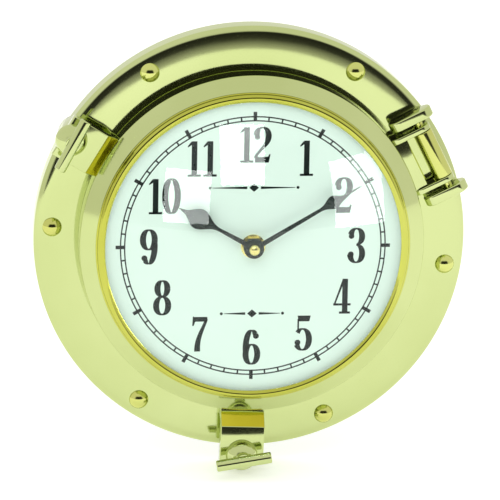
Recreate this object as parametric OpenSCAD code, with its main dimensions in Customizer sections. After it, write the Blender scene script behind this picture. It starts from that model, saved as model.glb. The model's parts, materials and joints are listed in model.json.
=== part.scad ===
// Ship's deck clock: a cast brass porthole case with a hinged glazed door, two screw dogs
// and a battery movement behind a round dial.
// Every module is drawn in a working frame: x to the right, y up, z = distance from the wall.
// upright() turns that frame so that the dial faces -Y and +Z is up.
// The origin is the centre of the flange's back rim, on the wall.

/* [Flange casting] */
// Outer diameter of the flange
flange_d = 232; // [230:0.5:233]
// Height of the flange face above the wall
flange_h = 14; // [13.8:0.1:14.2]
// Thickness of the flange face and of its skirt
flange_wall = 3; // [2.5:0.1:3.5]
// Drop of the rounded outer edge
rim_roll = 3.2; // [2.8:0.1:3.4]
// Width of the rounded outer edge
rim_roll_w = 6.5; // [5.5:0.1:7]
// Rise of the flange face halfway between its edges
face_crown = 0.4; // [0.1:0.1:0.5]
// Outer radius of the collar that the door closes over
collar_r = 86.5; // [86:0.1:86.8]
// Radial thickness of the collar
collar_wall = 4; // [3.5:0.1:4.5]
// Height of the collar above the wall
collar_h = 27.3; // [27:0.1:27.5]

/* [Rivets] */
// Radius of a rivet's domed head
rivet_head_r = 5.2; // [4.5:0.1:5.5]
// Height of a rivet's domed head
rivet_head_h = 3.2; // [2.5:0.1:4]
// Radius of the circle that the rivets stand on
rivet_ring_r = 106.5; // [106:0.5:107]
// Angles of the rivets, set out by hand, counter-clockwise from the right
rivet_angles = [59, 121, 176, 236.5, 293, 352];

/* [Door ring and glass] */
// Outer radius of the door ring
door_r = 92.3; // [92.2:0.1:92.8]
// Radius where the door's sloping front meets the bead
door_front_r = 84.2; // [84.1:0.05:84.3]
// Height of the door's sloping front at the bead
door_front_h = 31.7; // [31.6:0.05:31.8]
// Thickness of the door's outer wall
door_wall = 3; // [2.6:0.1:3]
// Inner radius of the bead, which frames the dial
bead_in_r = 79.2; // [79.2:0.05:79.4]
// Height of the bead's crest above the wall
bead_h = 34.5; // [34.4:0.1:34.6]
// Radius of the glass dome's inner surface
dome_r = 165; // [164:1:166]
// Thickness of the glass
glass_t = 2; // [2:0.1:2.1]

/* [Hinge] */
// Angle of the hinge around the case
hinge_angle = 26.5; // [25.5:0.5:27.5]
// Distance of the hinge pin from the centre of the case
hinge_u = 108; // [107.8:0.1:108.2]
// Height of the hinge pin above the wall
hinge_h = 21.5; // [21.4:0.1:21.6]
// Distance of each ear from the middle of the hinge
ear_offset = 22.5; // [22:0.5:23]
// Thickness of an ear
ear_t = 5.4; // [5:0.1:5.6]
// Diameter of the hinge pin
hinge_pin_d = 4; // [3.5:0.1:4.5]
// Outer diameter of the hinge barrel
barrel_d = 10; // [9:0.5:10]

/* [Dogs] */
// Angles of the two dogs around the case
dog_angles = [149, 268];
// Shift of each dog outwards from its usual distance
dog_shifts = [-3, 0];
// Turn of each dog's cross-bar away from the tangent of the case
bar_turns = [3, 11];
// Distance of a dog's screw from the centre of the case
dog_u = 116.5; // [116.4:0.1:116.6]
// Width of the door lug under a dog
lug_w = 23.6; // [23:0.1:24]
// Diameter of the dog's screw
dog_screw_d = 6; // [5.8:0.1:6]
// Radius of the domed cup washer
cup_r = 8.6; // [8:0.1:9.5]
// Length of the cross-bar
bar_len = 30; // [28:1:32]
// Diameter of the cross-bar
bar_d = 6.2; // [5.8:0.1:6.4]

/* [Dial and hands] */
// Radius of the dial plate
dial_r = 82.8; // [82.5:0.1:82.9]
// Thickness of the dial plate
dial_t = 1; // [0.8:0.1:1]
// Height of the dial's back above the wall
dial_back_h = 29; // [28.9:0.1:29]
// Length of the minute hand from the centre
minute_len = 66; // [60:1:66]
// Length of the hour hand from the centre
hour_len = 46; // [42:1:48]
// Angle of the minute hand at rest, clockwise from twelve
minute_angle = 59; // [0:1:359]
// Angle of the hour hand at rest, clockwise from twelve
hour_angle = 299; // [0:1:359]

/* [Movement] */
// Half width of the movement case
case_x = 28; // [28:0.5:29]
// Height of the movement case above its shaft
case_top = 23; // [23:0.5:24]
// Depth of the movement case below its shaft
case_bottom = 33.5; // [33.5:0.5:34]
// Height of the movement's back above the wall
case_back_h = 12; // [12:0.1:12]
// Height of the movement's front above the wall
case_front_h = 28; // [28:0.1:28]
// Diameter of the battery
battery_d = 14.5; // [14:0.1:14.5]
// Length of the battery
battery_len = 50.5; // [49.5:0.5:50.5]

/* [Hidden] */
$fn = 96;

// Colours
brass = "#d8d98a";
brass_deep = "#c9b53a";
steel = "#b9bdc2";
black = "#202224";
dial_white = "#e6f6ee";
nylon = "#e8e4d6";

// Flange section
flange_r = flange_d / 2;
face_in_r = 92;
crown_steps = 8;
arc_steps = 8;
ledge_in_r = 80.5;
ledge_out_r = 83.8;
ledge_t = 3;
collar_back_h = 4;
collar_chamfer = 1;
inner_fillet = 1.5;

// Rivet shank
rivet_shank_r = 2.5;
rivet_fit = 0.1;
rivet_grip = 1.2;

// Door section
door_gap = 0.3;
door_bottom_h = flange_h + door_gap;
shoulder_roll = 1.2;
shoulder_h = 26.2;
bead_bore_r = 83.25;
plate_drop = 2;
plate_slope = 0.58;
bead_foot_r = 83.15;
bead_back_h = 30.4;
bead_seat_r = 81.95;
bead_step = 0.9;
bead_roll = 1.9;
lip_t = 0.35;
lip_h = 33.2;
glass_r = 81.85;
glass_back_h = lip_h - 1.8;
dome_mouth_r = bead_in_r - 0.1;
dome_in_mouth_r = 78.3;
dome_centre_h = glass_back_h - sqrt(dome_r * dome_r - dome_in_mouth_r * dome_in_mouth_r);
seal_t = 0.5;
seal_in_r = 80.2;

// Hinge
pin_r = hinge_pin_d / 2;
pin_fit = 0.05;
ear_r = 5.7;
ear_in_u = 93;
ear_tip_u = 117.5;
ear_root_h = 13;
cheek_t = 3;
cheek_r = 5;
cheek_offset = 15.3;
bracket_w = 33.6;
bracket_in_u = 90;
bracket_out_u = 98.5;
bracket_h = [15, 25];
barrel_len = 27;
pin_len = 2 * ear_offset + ear_t;

// Dogs
dog_hole_fit = 0.7;
boss_u = 111;
point_r = 2.2;
point_gap = 0.3;
rim_steps = 14;
rim_sweep = 78;
boss_r = 10.5;
boss_h = 21.6;
boss_back_h = 2;
tip_bore_r = 3.6;
tip_bore_h = 15;
tip_h = 17;
tip_chamfer = 0.8;
lug_in_u = 90.3;
lug_out_u = 121.5;
lug_h = [22, 29];
lug_foot_h = 15;
lug_foot_u = 97.5;
lug_rise_u = 99.5;
valley_u = 94;
lug_corner_r = 2;
cup_gap = 0.3;
cup_h = 7.4;
neck_r = 3.9;
bar_h = 42;
bar_chamfer = 0.6;

// Back plate and hanger
back_plate_r = 86;
back_plate_t = 1.2;
window_half_w = 32;
window_y = [-37, 27];
back_screw_r = 84.5;
back_screw_angles = [45, 135, 225, 315];
small_screw_r = 1.2;
small_screw_fit = 0.05;
small_head_r = 2.4;
small_head_h = 1.2;
small_screw_len = 5;
hanger_u = 99;
hanger_w = 44;
hanger_depth = 13;
hanger_t = 1.5;
hanger_h = 1;
hang_hole_r = 4.25;
hang_slot_r = 2.1;
hang_slot_len = 5.5;
hang_hole_y = -2.5;
hanger_screw_x = 17;
hanger_post_r = 3.5;
hanger_screw_r = 1.5;
hanger_head_r = 2.8;

// Dial and hands
dial_front_h = dial_back_h + dial_t;
bush_r = 4;
bush_fit = 0.05;
bush_top_h = 33.2;
nut_w = 10;
nut_h = 2.2;
washer_r = 6.5;
washer_t = 0.6;
gasket_r = 9;
hand_t = 0.5;
minute_hand_h = 35.7;
hour_hand_h = 34;
hub_r = 5.35;
collet_t = 0.5;
cap_r = 2.85;
cap_h = 4.4;
cap_bore_r = 1.3;
cap_bore_t = 1.4;
hour_spade_r = 5.6;
minute_spade_r = 3.6;
hour_spade_y = 33.5;
minute_spade_y = 49;
stem_w = [2.6, 1.8];
point_w = 1.6;

// Movement
case_wall = 1.5;
cover_t = 1.5;
front_t = 1.3;
cover_h = case_back_h + cover_t;
divider_y = [-16.8, -15.8];
battery_y = -24.5;
battery_h = 19.2;
corner_post = 3;
bridge_h = [21.4, 22.2];
bridge_gap = 0.1;
board_h = [25, 26];
board_x = [12.2, 26];
board_y = [-15, 20];
contact_t = 0.3;

// Gear train: modules, teeth and levels above the wall
train_m = 0.3;
centre_m = 10.2 * 2 / 72;
motion_m = 0.5;
hour_m = 0.48;
rotor_teeth = 10;
intermediate_teeth = 50;
intermediate_leaves = 10;
seconds_teeth = 60;
seconds_leaves = 8;
third_teeth = 60;
third_leaves = 8;
centre_teeth = 64;
cannon_leaves = 12;
motion_teeth = 36;
motion_leaves = 10;
hour_teeth = 40;
knob_leaves = 12;
level_a = [14.6, 15.8];
level_b = [16.6, 17.6];
level_c = [18.4, 19.4];
level_d = [20.2, 21.2];
level_e = [22.4, 23.6];
level_f = [24.6, 25.8];
intermediate_dir = 150;
rotor_dir = 215;
third_dir = 30;
motion_dir = 120;
knob_dir = 25;
intermediate_xy = polar(train_m * (intermediate_leaves + seconds_teeth) / 2, intermediate_dir);
rotor_xy = intermediate_xy + polar(train_m * (rotor_teeth + intermediate_teeth) / 2, rotor_dir);
third_xy = polar(train_m * (seconds_leaves + third_teeth) / 2, third_dir);
motion_xy = polar(motion_m * (cannon_leaves + motion_teeth) / 2, motion_dir);
knob_xy = motion_xy + polar(motion_m * (motion_teeth + knob_leaves) / 2, knob_dir);
arbor_r = 0.6;
pivot_r = 0.4;
pivot_fit = 0.05;
cannon_r = 0.95;
cannon_pipe_r = 1.9;
hour_pipe_r = 2.85;
bush_bore_r = 2.9;
seconds_arbor_r = 0.5;
knob_shaft_r = 1;
knob_r = 6;
knob_h = [8.4, 11.7];
knob_ribs = 24;
magnet_r = 3;
magnet_h = [16.8, 20];
stator_h = [17.9, 18.9];
stator_bore_r = 3.6;
stator_lobe_r = 5.4;
coil_x = -22.8;
coil_r = 2.8;
coil_half_len = 9;
core_half_w = 1;
core_half_len = 13;
core_fit = 0.1;

// A point at distance r and angle a.
function polar(r, a) = [r * cos(a), r * sin(a)];

// Points of an arc about c, from angle a0 to angle a1.
function arc(c, r, a0, a1, steps = arc_steps) =
    [for (i = [0:steps]) c + polar(r, a0 + (a1 - a0) * i / steps)];

// Stand the working frame up: the dial faces -Y.
module upright() {
    rotate([90, 0, 0]) children();
}

// A frame at an angle around the case: x outwards, y along the rim, z away from the wall.
module station(angle) {
    rotate([0, 0, angle]) children();
}

// A plate given by its outline in x and height, extruded along y about offset.
module side_plate(offset, thickness) {
    translate([0, offset + thickness / 2, 0])
        rotate([90, 0, 0])
            linear_extrude(thickness) children();
}

// A cylinder from height h[0] to height h[1].
module rod(r, h, at = [0, 0]) {
    translate([at[0], at[1], h[0]]) cylinder(r = r, h = h[1] - h[0]);
}

// A block between two corners.
module block(low, high) {
    translate(low) cube(high - low);
}

// A spherical cap of base radius r and height h, standing on z = 0.
module dome(r, h) {
    ball_r = (r * r + h * h) / (2 * h);
    intersection() {
        translate([0, 0, h - ball_r]) sphere(r = ball_r);
        cylinder(r = r + 1, h = h + 1);
    }
}

// Flat outline with parallel sides and round ends, from u0 to u1 at height v.
module slot_outline(u0, u1, v, r) {
    translate([u0 + r, v]) circle(r = r);
    translate([u1 - r, v]) circle(r = r);
    translate([u0 + r, v - r]) square([u1 - u0 - 2 * r, 2 * r]);
}

// ---- case ----

// Points of the flange's rounded outer edge, in radius and height.
function rim_points() =
    [for (i = [0:rim_steps])
        let (angle = i / rim_steps * rim_sweep)
        [flange_r - rim_roll_w * (1 - cos(angle)), flange_h - rim_roll * (1 - sin(angle))]];

// Section of the flange's face: the rounded edge, then a face that rises a little halfway.
function flange_section() = concat(
    [[flange_r, flange_h - flange_wall - inner_fillet]],
    rim_points(),
    [for (i = [1:crown_steps])
        let (t = i / crown_steps, edge = rim_points()[rim_steps])
        [edge[0] + t * (face_in_r - edge[0]),
         edge[1] + t * (flange_h - edge[1]) + face_crown * 4 * t * (1 - t)]],
    [[collar_r, flange_h],
     [collar_r, flange_h - flange_wall]],
    arc([flange_r - flange_wall - inner_fillet, flange_h - flange_wall - inner_fillet],
        inner_fillet, 90, 0));

// Section of the collar: a tube with a ledge for the dial.
function collar_section() =
    [[collar_r, collar_h - collar_chamfer],
     [collar_r - collar_chamfer, collar_h],
     [ledge_out_r, collar_h],
     [ledge_out_r, dial_back_h],
     [ledge_in_r, dial_back_h],
     [ledge_in_r, dial_back_h - ledge_t],
     [collar_r - collar_wall, dial_back_h - ledge_t - collar_wall],
     [collar_r - collar_wall, collar_back_h],
     [collar_r, collar_back_h]];

// Side view of a hinge ear: a bar with round ends on a straight root.
module ear_outline() {
    slot_outline(ear_in_u, ear_tip_u, hinge_h - 0.2, ear_r);
    translate([ear_in_u + 2, ear_root_h]) square([flange_r - ear_in_u - 3, hinge_h - ear_root_h]);
}

// Places children in the frame of one dog.
module at_dog(index) {
    station(dog_angles[index]) translate([dog_shifts[index], 0, 0]) children();
}

// The two bosses, or the room that they take in the flange.
module at_bosses(radius, h) {
    for (index = [0, 1]) at_dog(index) rod(radius, h, [boss_u, 0]);
}

// Blanks of the two hinge ears.
module ear_blanks() {
    station(hinge_angle)
        for (side = [-1, 1]) side_plate(side * ear_offset, ear_t) ear_outline();
}

module flange() {
    color(brass) upright() difference() {
        rotate_extrude($fn = 180) polygon(flange_section());
        at_bosses(boss_r, [0, boss_h]);
        ear_blanks();
        for (angle = rivet_angles)
            station(angle) rod(rivet_shank_r + rivet_fit, [0, flange_h + 1], [rivet_ring_r, 0]);
    }
}

// The turned-down edge that rests on the wall.
module flange_skirt() {
    skirt_h = flange_h - flange_wall - inner_fillet;
    color(brass) upright() difference() {
        flat_ring(flange_r - flange_wall, flange_r, [0, skirt_h]);
        at_bosses(boss_r, [0, boss_h]);
    }
}

module collar() {
    color(brass) upright() difference() {
        rotate_extrude($fn = 180) polygon(collar_section());
        for (angle = back_screw_angles)
            station(angle) rod(small_screw_r + small_screw_fit,
                [collar_back_h - 1, collar_back_h + small_screw_len], [back_screw_r, 0]);
    }
}

// The two ears that hold the ends of the hinge pin.
module hinge_ears() {
    color(brass) upright() difference() {
        ear_blanks();
        station(hinge_angle) translate([hinge_u, pin_len / 2 + 1, hinge_h])
            rotate([90, 0, 0]) cylinder(r = pin_r, h = pin_len + 2);
    }
}

// Round bosses with a clearance hole for the tip of each dog screw.
module dog_bosses() {
    color(brass) upright() difference() {
        at_bosses(boss_r, [boss_back_h, boss_h]);
        for (index = [0, 1])
            at_dog(index) rod(tip_bore_r, [tip_bore_h, boss_h + 1], [dog_u, 0]);
    }
}

// Two posts under the face, into which the hanger is screwed.
module hanger_posts() {
    color(brass) upright() for (side = [-1, 1]) difference() {
        rod(hanger_post_r, [hanger_h + hanger_t, flange_h - flange_wall],
            [side * hanger_screw_x, hanger_u]);
        rod(hanger_screw_r + small_screw_fit, [0, hanger_h + hanger_t + small_screw_len],
            [side * hanger_screw_x, hanger_u]);
    }
}

module rivets() {
    color(brass_deep) upright() for (angle = rivet_angles) station(angle) translate([rivet_ring_r, 0, 0]) {
        translate([0, 0, flange_h + 0.2]) dome(rivet_head_r, rivet_head_h);
        rod(rivet_shank_r, [flange_h - flange_wall - rivet_grip, flange_h + 0.3]);
    }
}

module hinge_pin() {
    color(brass_deep) upright() station(hinge_angle) translate([hinge_u, pin_len / 2, hinge_h])
        rotate([90, 0, 0]) cylinder(r = pin_r, h = pin_len);
}

module back_plate() {
    color(black) upright() difference() {
        rod(back_plate_r, [collar_back_h - back_plate_t, collar_back_h]);
        block([-window_half_w, window_y[0], 0], [window_half_w, window_y[1], flange_h]);
        for (angle = back_screw_angles)
            station(angle) rod(small_screw_r + small_screw_fit, [0, flange_h], [back_screw_r, 0]);
    }
}

// A small screw with a domed head, its shank running to +z from the head's flat.
module small_screw(shank_r, head_r, length) {
    mirror([0, 0, 1]) difference() {
        dome(head_r, small_head_h);
        block([-0.3, -head_r, small_head_h - 0.6], [0.3, head_r, small_head_h + 1]);
    }
    translate([0, 0, -0.1]) cylinder(r = shank_r, h = length + 0.1);
}

module back_plate_screws() {
    color(steel) upright() for (angle = back_screw_angles)
        station(angle) translate([back_screw_r, 0, collar_back_h - back_plate_t])
            small_screw(small_screw_r, small_head_r - 0.9, small_screw_len);
}

module hanger() {
    color(steel) upright() translate([0, hanger_u, hanger_h]) difference() {
        translate([-hanger_w / 2, -hanger_depth / 2, 0]) cube([hanger_w, hanger_depth, hanger_t]);
        translate([0, hang_hole_y, -1]) cylinder(r = hang_hole_r, h = hanger_t + 2);
        translate([0, hang_hole_y + hang_slot_len, -1]) cylinder(r = hang_slot_r, h = hanger_t + 2);
        translate([-hang_slot_r, hang_hole_y, -1])
            cube([2 * hang_slot_r, hang_slot_len, hanger_t + 2]);
        for (side = [-1, 1])
            translate([side * hanger_screw_x, 0, -1])
                cylinder(r = hanger_screw_r + small_screw_fit, h = hanger_t + 2);
    }
}

module hanger_screws() {
    color(steel) upright() for (side = [-1, 1])
        translate([side * hanger_screw_x, hanger_u, hanger_h])
            small_screw_flush();
}

// A flat-headed screw whose head fits between the wall and the hanger.
module small_screw_flush() {
    translate([0, 0, -0.8]) cylinder(r = hanger_head_r, h = 0.8);
    cylinder(r = hanger_screw_r, h = hanger_t + small_screw_len - 0.5);
}

// ---- door ----

// Section of the door ring, in radius and height.
function door_section() =
    [[door_r - door_wall, door_bottom_h], [door_r, door_bottom_h],
     [door_r, shoulder_h], [door_r - door_wall, shoulder_h]];

// Section of the door's front: a rolled shoulder and a slope up to the bead.
function front_section() = concat(
    [[door_r - door_wall, shoulder_h]],
    arc([door_r - shoulder_roll, shoulder_h], shoulder_roll, 0, 60, 4),
    [[door_front_r, door_front_h],
     [bead_bore_r, door_front_h],
     [bead_bore_r, door_front_h - plate_drop],
     [door_r - door_wall,
      door_front_h - plate_drop - plate_slope * (door_r - door_wall - bead_bore_r)]]);

// Section of the bead: a low step, a round crest and a lip over the glass.
function bead_section() = concat(
    [[bead_foot_r, door_front_h]],
    arc([door_front_r - bead_step, door_front_h], bead_step, 0, 80, 5),
    arc([door_front_r - bead_step - bead_roll, bead_h - bead_roll], bead_roll, 10, 120),
    [[bead_in_r + 0.3, lip_h + lip_t + 0.15],
     [bead_in_r, lip_h + lip_t],
     [bead_in_r, lip_h],
     [bead_seat_r, lip_h],
     [bead_seat_r, bead_back_h],
     [bead_foot_r, bead_back_h]]);

// Side view of the door lug: a foot on the wall, a valley, a slope and a flat top.
module lug_outline() {
    polygon([
        [lug_in_u, lug_foot_h], [lug_foot_u, lug_foot_h], [lug_rise_u, lug_h[0]],
        [lug_out_u, lug_h[0]], [lug_out_u, lug_h[1]],
        [valley_u + lug_h[1] - lug_h[0], lug_h[1]], [valley_u, lug_h[0]], [lug_in_u, lug_h[0]]
    ]);
}

// Plan of the door lug, with its outer corners rounded.
module lug_plan() {
    translate([0, -lug_w / 2]) square([lug_out_u - lug_corner_r, lug_w]);
    translate([0, -lug_w / 2 + lug_corner_r]) square([lug_out_u, lug_w - 2 * lug_corner_r]);
    for (side = [-1, 1])
        translate([lug_out_u - lug_corner_r, side * (lug_w / 2 - lug_corner_r)])
            circle(r = lug_corner_r, $fn = 32);
}

module door_lug() {
    intersection() {
        side_plate(0, lug_w + 1) lug_outline();
        linear_extrude(2 * flange_h + lug_h[1]) lug_plan();
    }
}

// Side view of one cheek of the hinge bracket.
module cheek_outline() {
    slot_outline(bracket_out_u - 2 * cheek_r + 1, hinge_u + cheek_r, hinge_h, cheek_r);
}

module bracket_blank() {
    block([bracket_in_u, -bracket_w / 2, bracket_h[0]], [bracket_out_u, bracket_w / 2, bracket_h[1]]);
    for (side = [-1, 1]) side_plate(side * cheek_offset, cheek_t) cheek_outline();
}

module door_ring() {
    color(brass) upright() rotate_extrude($fn = 180) polygon(door_section());
}

module door_front() {
    color(brass) upright() rotate_extrude($fn = 180) polygon(front_section());
}

// Room taken by the ring inside the parts that stand on it.
module ring_room() {
    rod(door_r, [0, shoulder_h]);
    translate([0, 0, shoulder_h]) cylinder(r1 = door_r, r2 = door_front_r, h = door_front_h - shoulder_h);
}

module door_lugs() {
    color(brass) upright() for (index = [0, 1]) difference() {
        at_dog(index) door_lug();
        ring_room();
        at_dog(index) rod(dog_screw_d / 2 + dog_hole_fit, [flange_h, lug_h[1] + 1], [dog_u, 0]);
    }
}

module hinge_bracket() {
    color(brass) upright() station(hinge_angle) difference() {
        bracket_blank();
        ring_room();
        translate([hinge_u, bracket_w / 2 + 1, hinge_h])
            rotate([90, 0, 0]) cylinder(r = pin_r + pin_fit, h = bracket_w + 2);
    }
}

module hinge_barrel() {
    color(brass_deep) upright() station(hinge_angle)
        translate([hinge_u, barrel_len / 2, hinge_h]) rotate([90, 0, 0]) difference() {
            cylinder(r = barrel_d / 2, h = barrel_len);
            translate([0, 0, -1]) cylinder(r = pin_r + pin_fit, h = barrel_len + 2);
        }
}

module bezel_bead() {
    color(brass_deep) upright() rotate_extrude($fn = 180) polygon(bead_section());
}

module glass() {
    color("#cfe8e4", 0.3) upright() difference() {
        union() {
            rod(glass_r, [glass_back_h, lip_h - 0.05]);
            intersection() {
                translate([0, 0, dome_centre_h]) sphere(r = dome_r + glass_t, $fn = 360);
                rod(dome_mouth_r, [glass_back_h, 2 * bead_h]);
            }
        }
        translate([0, 0, dome_centre_h]) sphere(r = dome_r, $fn = 360);
    }
}

// A flat ring from radius r0 to radius r1 between two heights.
module flat_ring(r0, r1, h) {
    difference() {
        rod(r1, h);
        rod(r0, [h[0] - 1, h[1] + 1]);
    }
}

module glass_gasket() {
    color(black) upright()
        flat_ring(seal_in_r, glass_r, [glass_back_h - seal_t, glass_back_h]);
}

module glass_retainer() {
    color(brass_deep) upright()
        flat_ring(seal_in_r + 0.1, glass_r, [bead_back_h, glass_back_h - seal_t]);
}

// ---- dogs ----

module dog_cup(index) {
    color(brass) upright() at_dog(index)
        translate([dog_u, 0, lug_h[1] + cup_gap]) difference() {
            dome(cup_r, cup_h);
            translate([0, 0, -1]) cylinder(r = dog_screw_d / 2 + pin_fit, h = cup_h + 2);
        }
}

// A cross-bar lying level, its ends chamfered.
module bar_blank() {
    half = bar_len / 2;
    rotate([90, 0, 0]) {
        translate([0, 0, bar_chamfer - half]) cylinder(r = bar_d / 2, h = bar_len - 2 * bar_chamfer);
        for (side = [0, 1]) mirror([0, 0, side])
            translate([0, 0, half - bar_chamfer])
                cylinder(r1 = bar_d / 2, r2 = bar_d / 2 - bar_chamfer, h = bar_chamfer);
    }
}

module at_bar(index) {
    at_dog(index)
        translate([dog_u, 0, bar_h]) rotate([0, 0, bar_turns[index]]) children();
}

module dog_screw(index) {
    shoulder = lug_h[1] + cup_gap + cup_h + 0.1;
    color(brass) upright() difference() {
        at_dog(index) translate([dog_u, 0, 0]) {
            rod(dog_screw_d / 2, [boss_h + point_gap, shoulder + 1]);
            rod(point_r, [tip_h + tip_chamfer, boss_h + 2 * point_gap]);
            translate([0, 0, tip_h])
                cylinder(r1 = point_r - tip_chamfer, r2 = point_r, h = tip_chamfer);
            rod(neck_r, [shoulder, bar_h]);
        }
        at_bar(index) rotate([90, 0, 0]) cylinder(r = bar_d / 2, h = bar_len, center = true);
    }
}

module dog_bar(index) {
    color(brass) upright() at_bar(index) bar_blank();
}

module dog_left_bar() { dog_bar(0); }
module dog_bottom_bar() { dog_bar(1); }
module dog_left_cup() { dog_cup(0); }
module dog_left_screw() { dog_screw(0); }
module dog_bottom_cup() { dog_cup(1); }
module dog_bottom_screw() { dog_screw(1); }

// ---- dial and hands ----

module dial() {
    color(dial_white) upright() flat_ring(bush_r + bush_fit, dial_r, [dial_back_h, dial_front_h]);
}

module dial_washer() {
    color(brass_deep) upright()
        flat_ring(bush_r + bush_fit, washer_r, [dial_front_h, dial_front_h + washer_t]);
}

module dial_gasket() {
    color(black) upright() flat_ring(bush_r + bush_fit, gasket_r, [case_front_h, dial_back_h]);
}

module dial_nut() {
    base = dial_front_h + washer_t;
    color(brass_deep) upright() difference() {
        translate([0, 0, base]) cylinder(r = nut_w / sqrt(3), h = nut_h, $fn = 6);
        rod(bush_r + bush_fit, [base - 1, base + nut_h + 1]);
    }
}

module shaft_bush() {
    color(brass_deep) upright() difference() {
        union() {
            rod(bush_r, [case_front_h - front_t, bush_top_h]);
            rod(bush_r + 1.5, [case_front_h - front_t - 0.6, case_front_h - front_t]);
        }
        rod(bush_bore_r, [case_back_h, bush_top_h + 1]);
    }
}

// Outline of a hand pointing to +y: hub, tapering stem, round spade and long point.
module hand_outline(spade_y, spade_r, tip_y) {
    circle(r = hub_r);
    polygon([[-stem_w[0] / 2, 0], [stem_w[0] / 2, 0], [stem_w[1] / 2, spade_y], [-stem_w[1] / 2, spade_y]]);
    translate([0, spade_y]) circle(r = spade_r);
    polygon([
        polar(spade_r, 205) + [0, spade_y], polar(spade_r, -25) + [0, spade_y],
        [stem_w[1] / 2, spade_y - 2.2 * spade_r], [-stem_w[1] / 2, spade_y - 2.2 * spade_r]
    ]);
    polygon([
        polar(spade_r, 155) + [0, spade_y], [-point_w / 2, spade_y + 1.7 * spade_r],
        [-0.2, tip_y], [0.2, tip_y],
        [point_w / 2, spade_y + 1.7 * spade_r], polar(spade_r, 25) + [0, spade_y]
    ]);
}

module minute_hand() {
    color(black) upright() rotate([0, 0, -minute_angle]) difference() {
        union() {
            translate([0, 0, minute_hand_h]) linear_extrude(hand_t)
                hand_outline(minute_spade_y, minute_spade_r, minute_len);
            rod(hub_r - 2, [minute_hand_h - collet_t, minute_hand_h + hand_t / 2]);
        }
        rod(cannon_pipe_r, [minute_hand_h - 2, minute_hand_h + 2]);
    }
}

module hour_hand() {
    color(black) upright() rotate([0, 0, -hour_angle]) difference() {
        union() {
            translate([0, 0, hour_hand_h]) linear_extrude(hand_t)
                hand_outline(hour_spade_y, hour_spade_r, hour_len);
            rod(hub_r - 1, [hour_hand_h - collet_t, hour_hand_h + hand_t / 2]);
        }
        rod(hour_pipe_r, [hour_hand_h - 2, hour_hand_h + 2]);
    }
}

module minute_cap_nut() {
    base = minute_hand_h + hand_t;
    color(brass) upright() difference() {
        union() {
            rod(cap_r, [base + 0.2, base + cap_h - 1.5]);
            translate([0, 0, base + cap_h - 1.5]) dome(cap_r, 1.5);
        }
        rod(cap_bore_r, [base, base + cap_bore_t]);
    }
}

// ---- gears ----

// Points of a spur gear's outline: each tooth is a trapezium set on the root circle.
function gear_points(teeth, m) = [
    for (i = [0:teeth - 1])
        let (a = 360 * i / teeth, rp = m * teeth / 2, pitch = 360 / teeth)
        each [
            polar(rp - 1.15 * m, a - 0.27 * pitch),
            polar(rp + 0.75 * m, a - 0.09 * pitch),
            polar(rp + 0.75 * m, a + 0.09 * pitch),
            polar(rp - 1.15 * m, a + 0.27 * pitch)
        ]
];

// A spur gear between two heights, with one tooth pointing to angle.
module gear(teeth, m, level, at, angle) {
    translate([at[0], at[1], level[0]]) rotate([0, 0, angle])
        linear_extrude(level[1] - level[0]) polygon(gear_points(teeth, m));
}

// A wheel turned so that one of its gaps points to angle.
module gear_gap(teeth, m, level, at, angle) {
    gear(teeth, m, level, at, angle + 180 / teeth);
}

// An arbor with a thin pivot at each end.
module arbor(at, h, ends) {
    rod(arbor_r, h, at);
    rod(pivot_r, ends, at);
}

module cannon_pinion() {
    color(brass_deep) upright() difference() {
        union() {
            rod(cannon_r, [level_d[0] - 0.1, level_e[0] + 0.1]);
            gear(cannon_leaves, motion_m, level_e, [0, 0], motion_dir);
            rod(cannon_pipe_r, [level_e[1] - 0.1, minute_hand_h + hand_t + 0.2]);
            rod(1.2, [minute_hand_h, minute_hand_h + hand_t + 1]);
        }
        rod(seconds_arbor_r + pivot_fit, [level_c[1], level_f[1]]);
    }
}

module hour_wheel() {
    color(nylon) upright() difference() {
        union() {
            gear_gap(hour_teeth, hour_m, level_f, [0, 0], motion_dir);
            rod(hour_pipe_r, [level_f[0], hour_hand_h + hand_t]);
        }
        rod(cannon_pipe_r + pivot_fit, [level_f[0] - 1, hour_hand_h + 2]);
    }
}

module motion_wheel() {
    color(nylon) upright() {
        gear_gap(motion_teeth, motion_m, level_e, motion_xy, motion_dir + 180);
        rod(1.5, [level_e[1] - 0.1, level_f[0] + 0.1], motion_xy);
        gear(motion_leaves, hour_m, level_f, motion_xy, motion_dir + 180);
        rod(pivot_r, [bridge_h[0] + 0.1, case_front_h - front_t + 0.6], motion_xy);
    }
}

module setting_knob() {
    gap_dir = knob_dir + 180 + 180 / knob_leaves * knob_phase();
    color(black) upright() {
        translate([knob_xy[0], knob_xy[1], knob_h[0]]) linear_extrude(knob_h[1] - knob_h[0])
            polygon([for (i = [0:2 * knob_ribs - 1]) polar(knob_r - 0.4 * (i % 2), 180 * i / knob_ribs)]);
        rod(knob_shaft_r, [knob_h[1] - 0.1, level_e[0] + 0.1], knob_xy);
        gear(knob_leaves, motion_m, level_e, knob_xy, gap_dir);
    }
}

// Half-tooth steps that bring the knob's pinion into mesh with the motion wheel.
function knob_phase() =
    let (pitch = 360 / motion_teeth,
         first = motion_dir + 180 + pitch / 2,
         lead = (knob_dir - first) / pitch,
         part = lead - floor(lead))
    1 - 2 * part;

module seconds_wheel() {
    color(nylon) upright() {
        gear_gap(seconds_teeth, train_m, level_b, [0, 0], intermediate_dir);
        rod(arbor_r, [level_b[0] - 1, level_c[0] + 0.1]);
        gear(seconds_leaves, train_m, level_c, [0, 0], third_dir);
        rod(seconds_arbor_r, [cover_h - 0.8, level_f[0] - 0.4]);
    }
}

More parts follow.
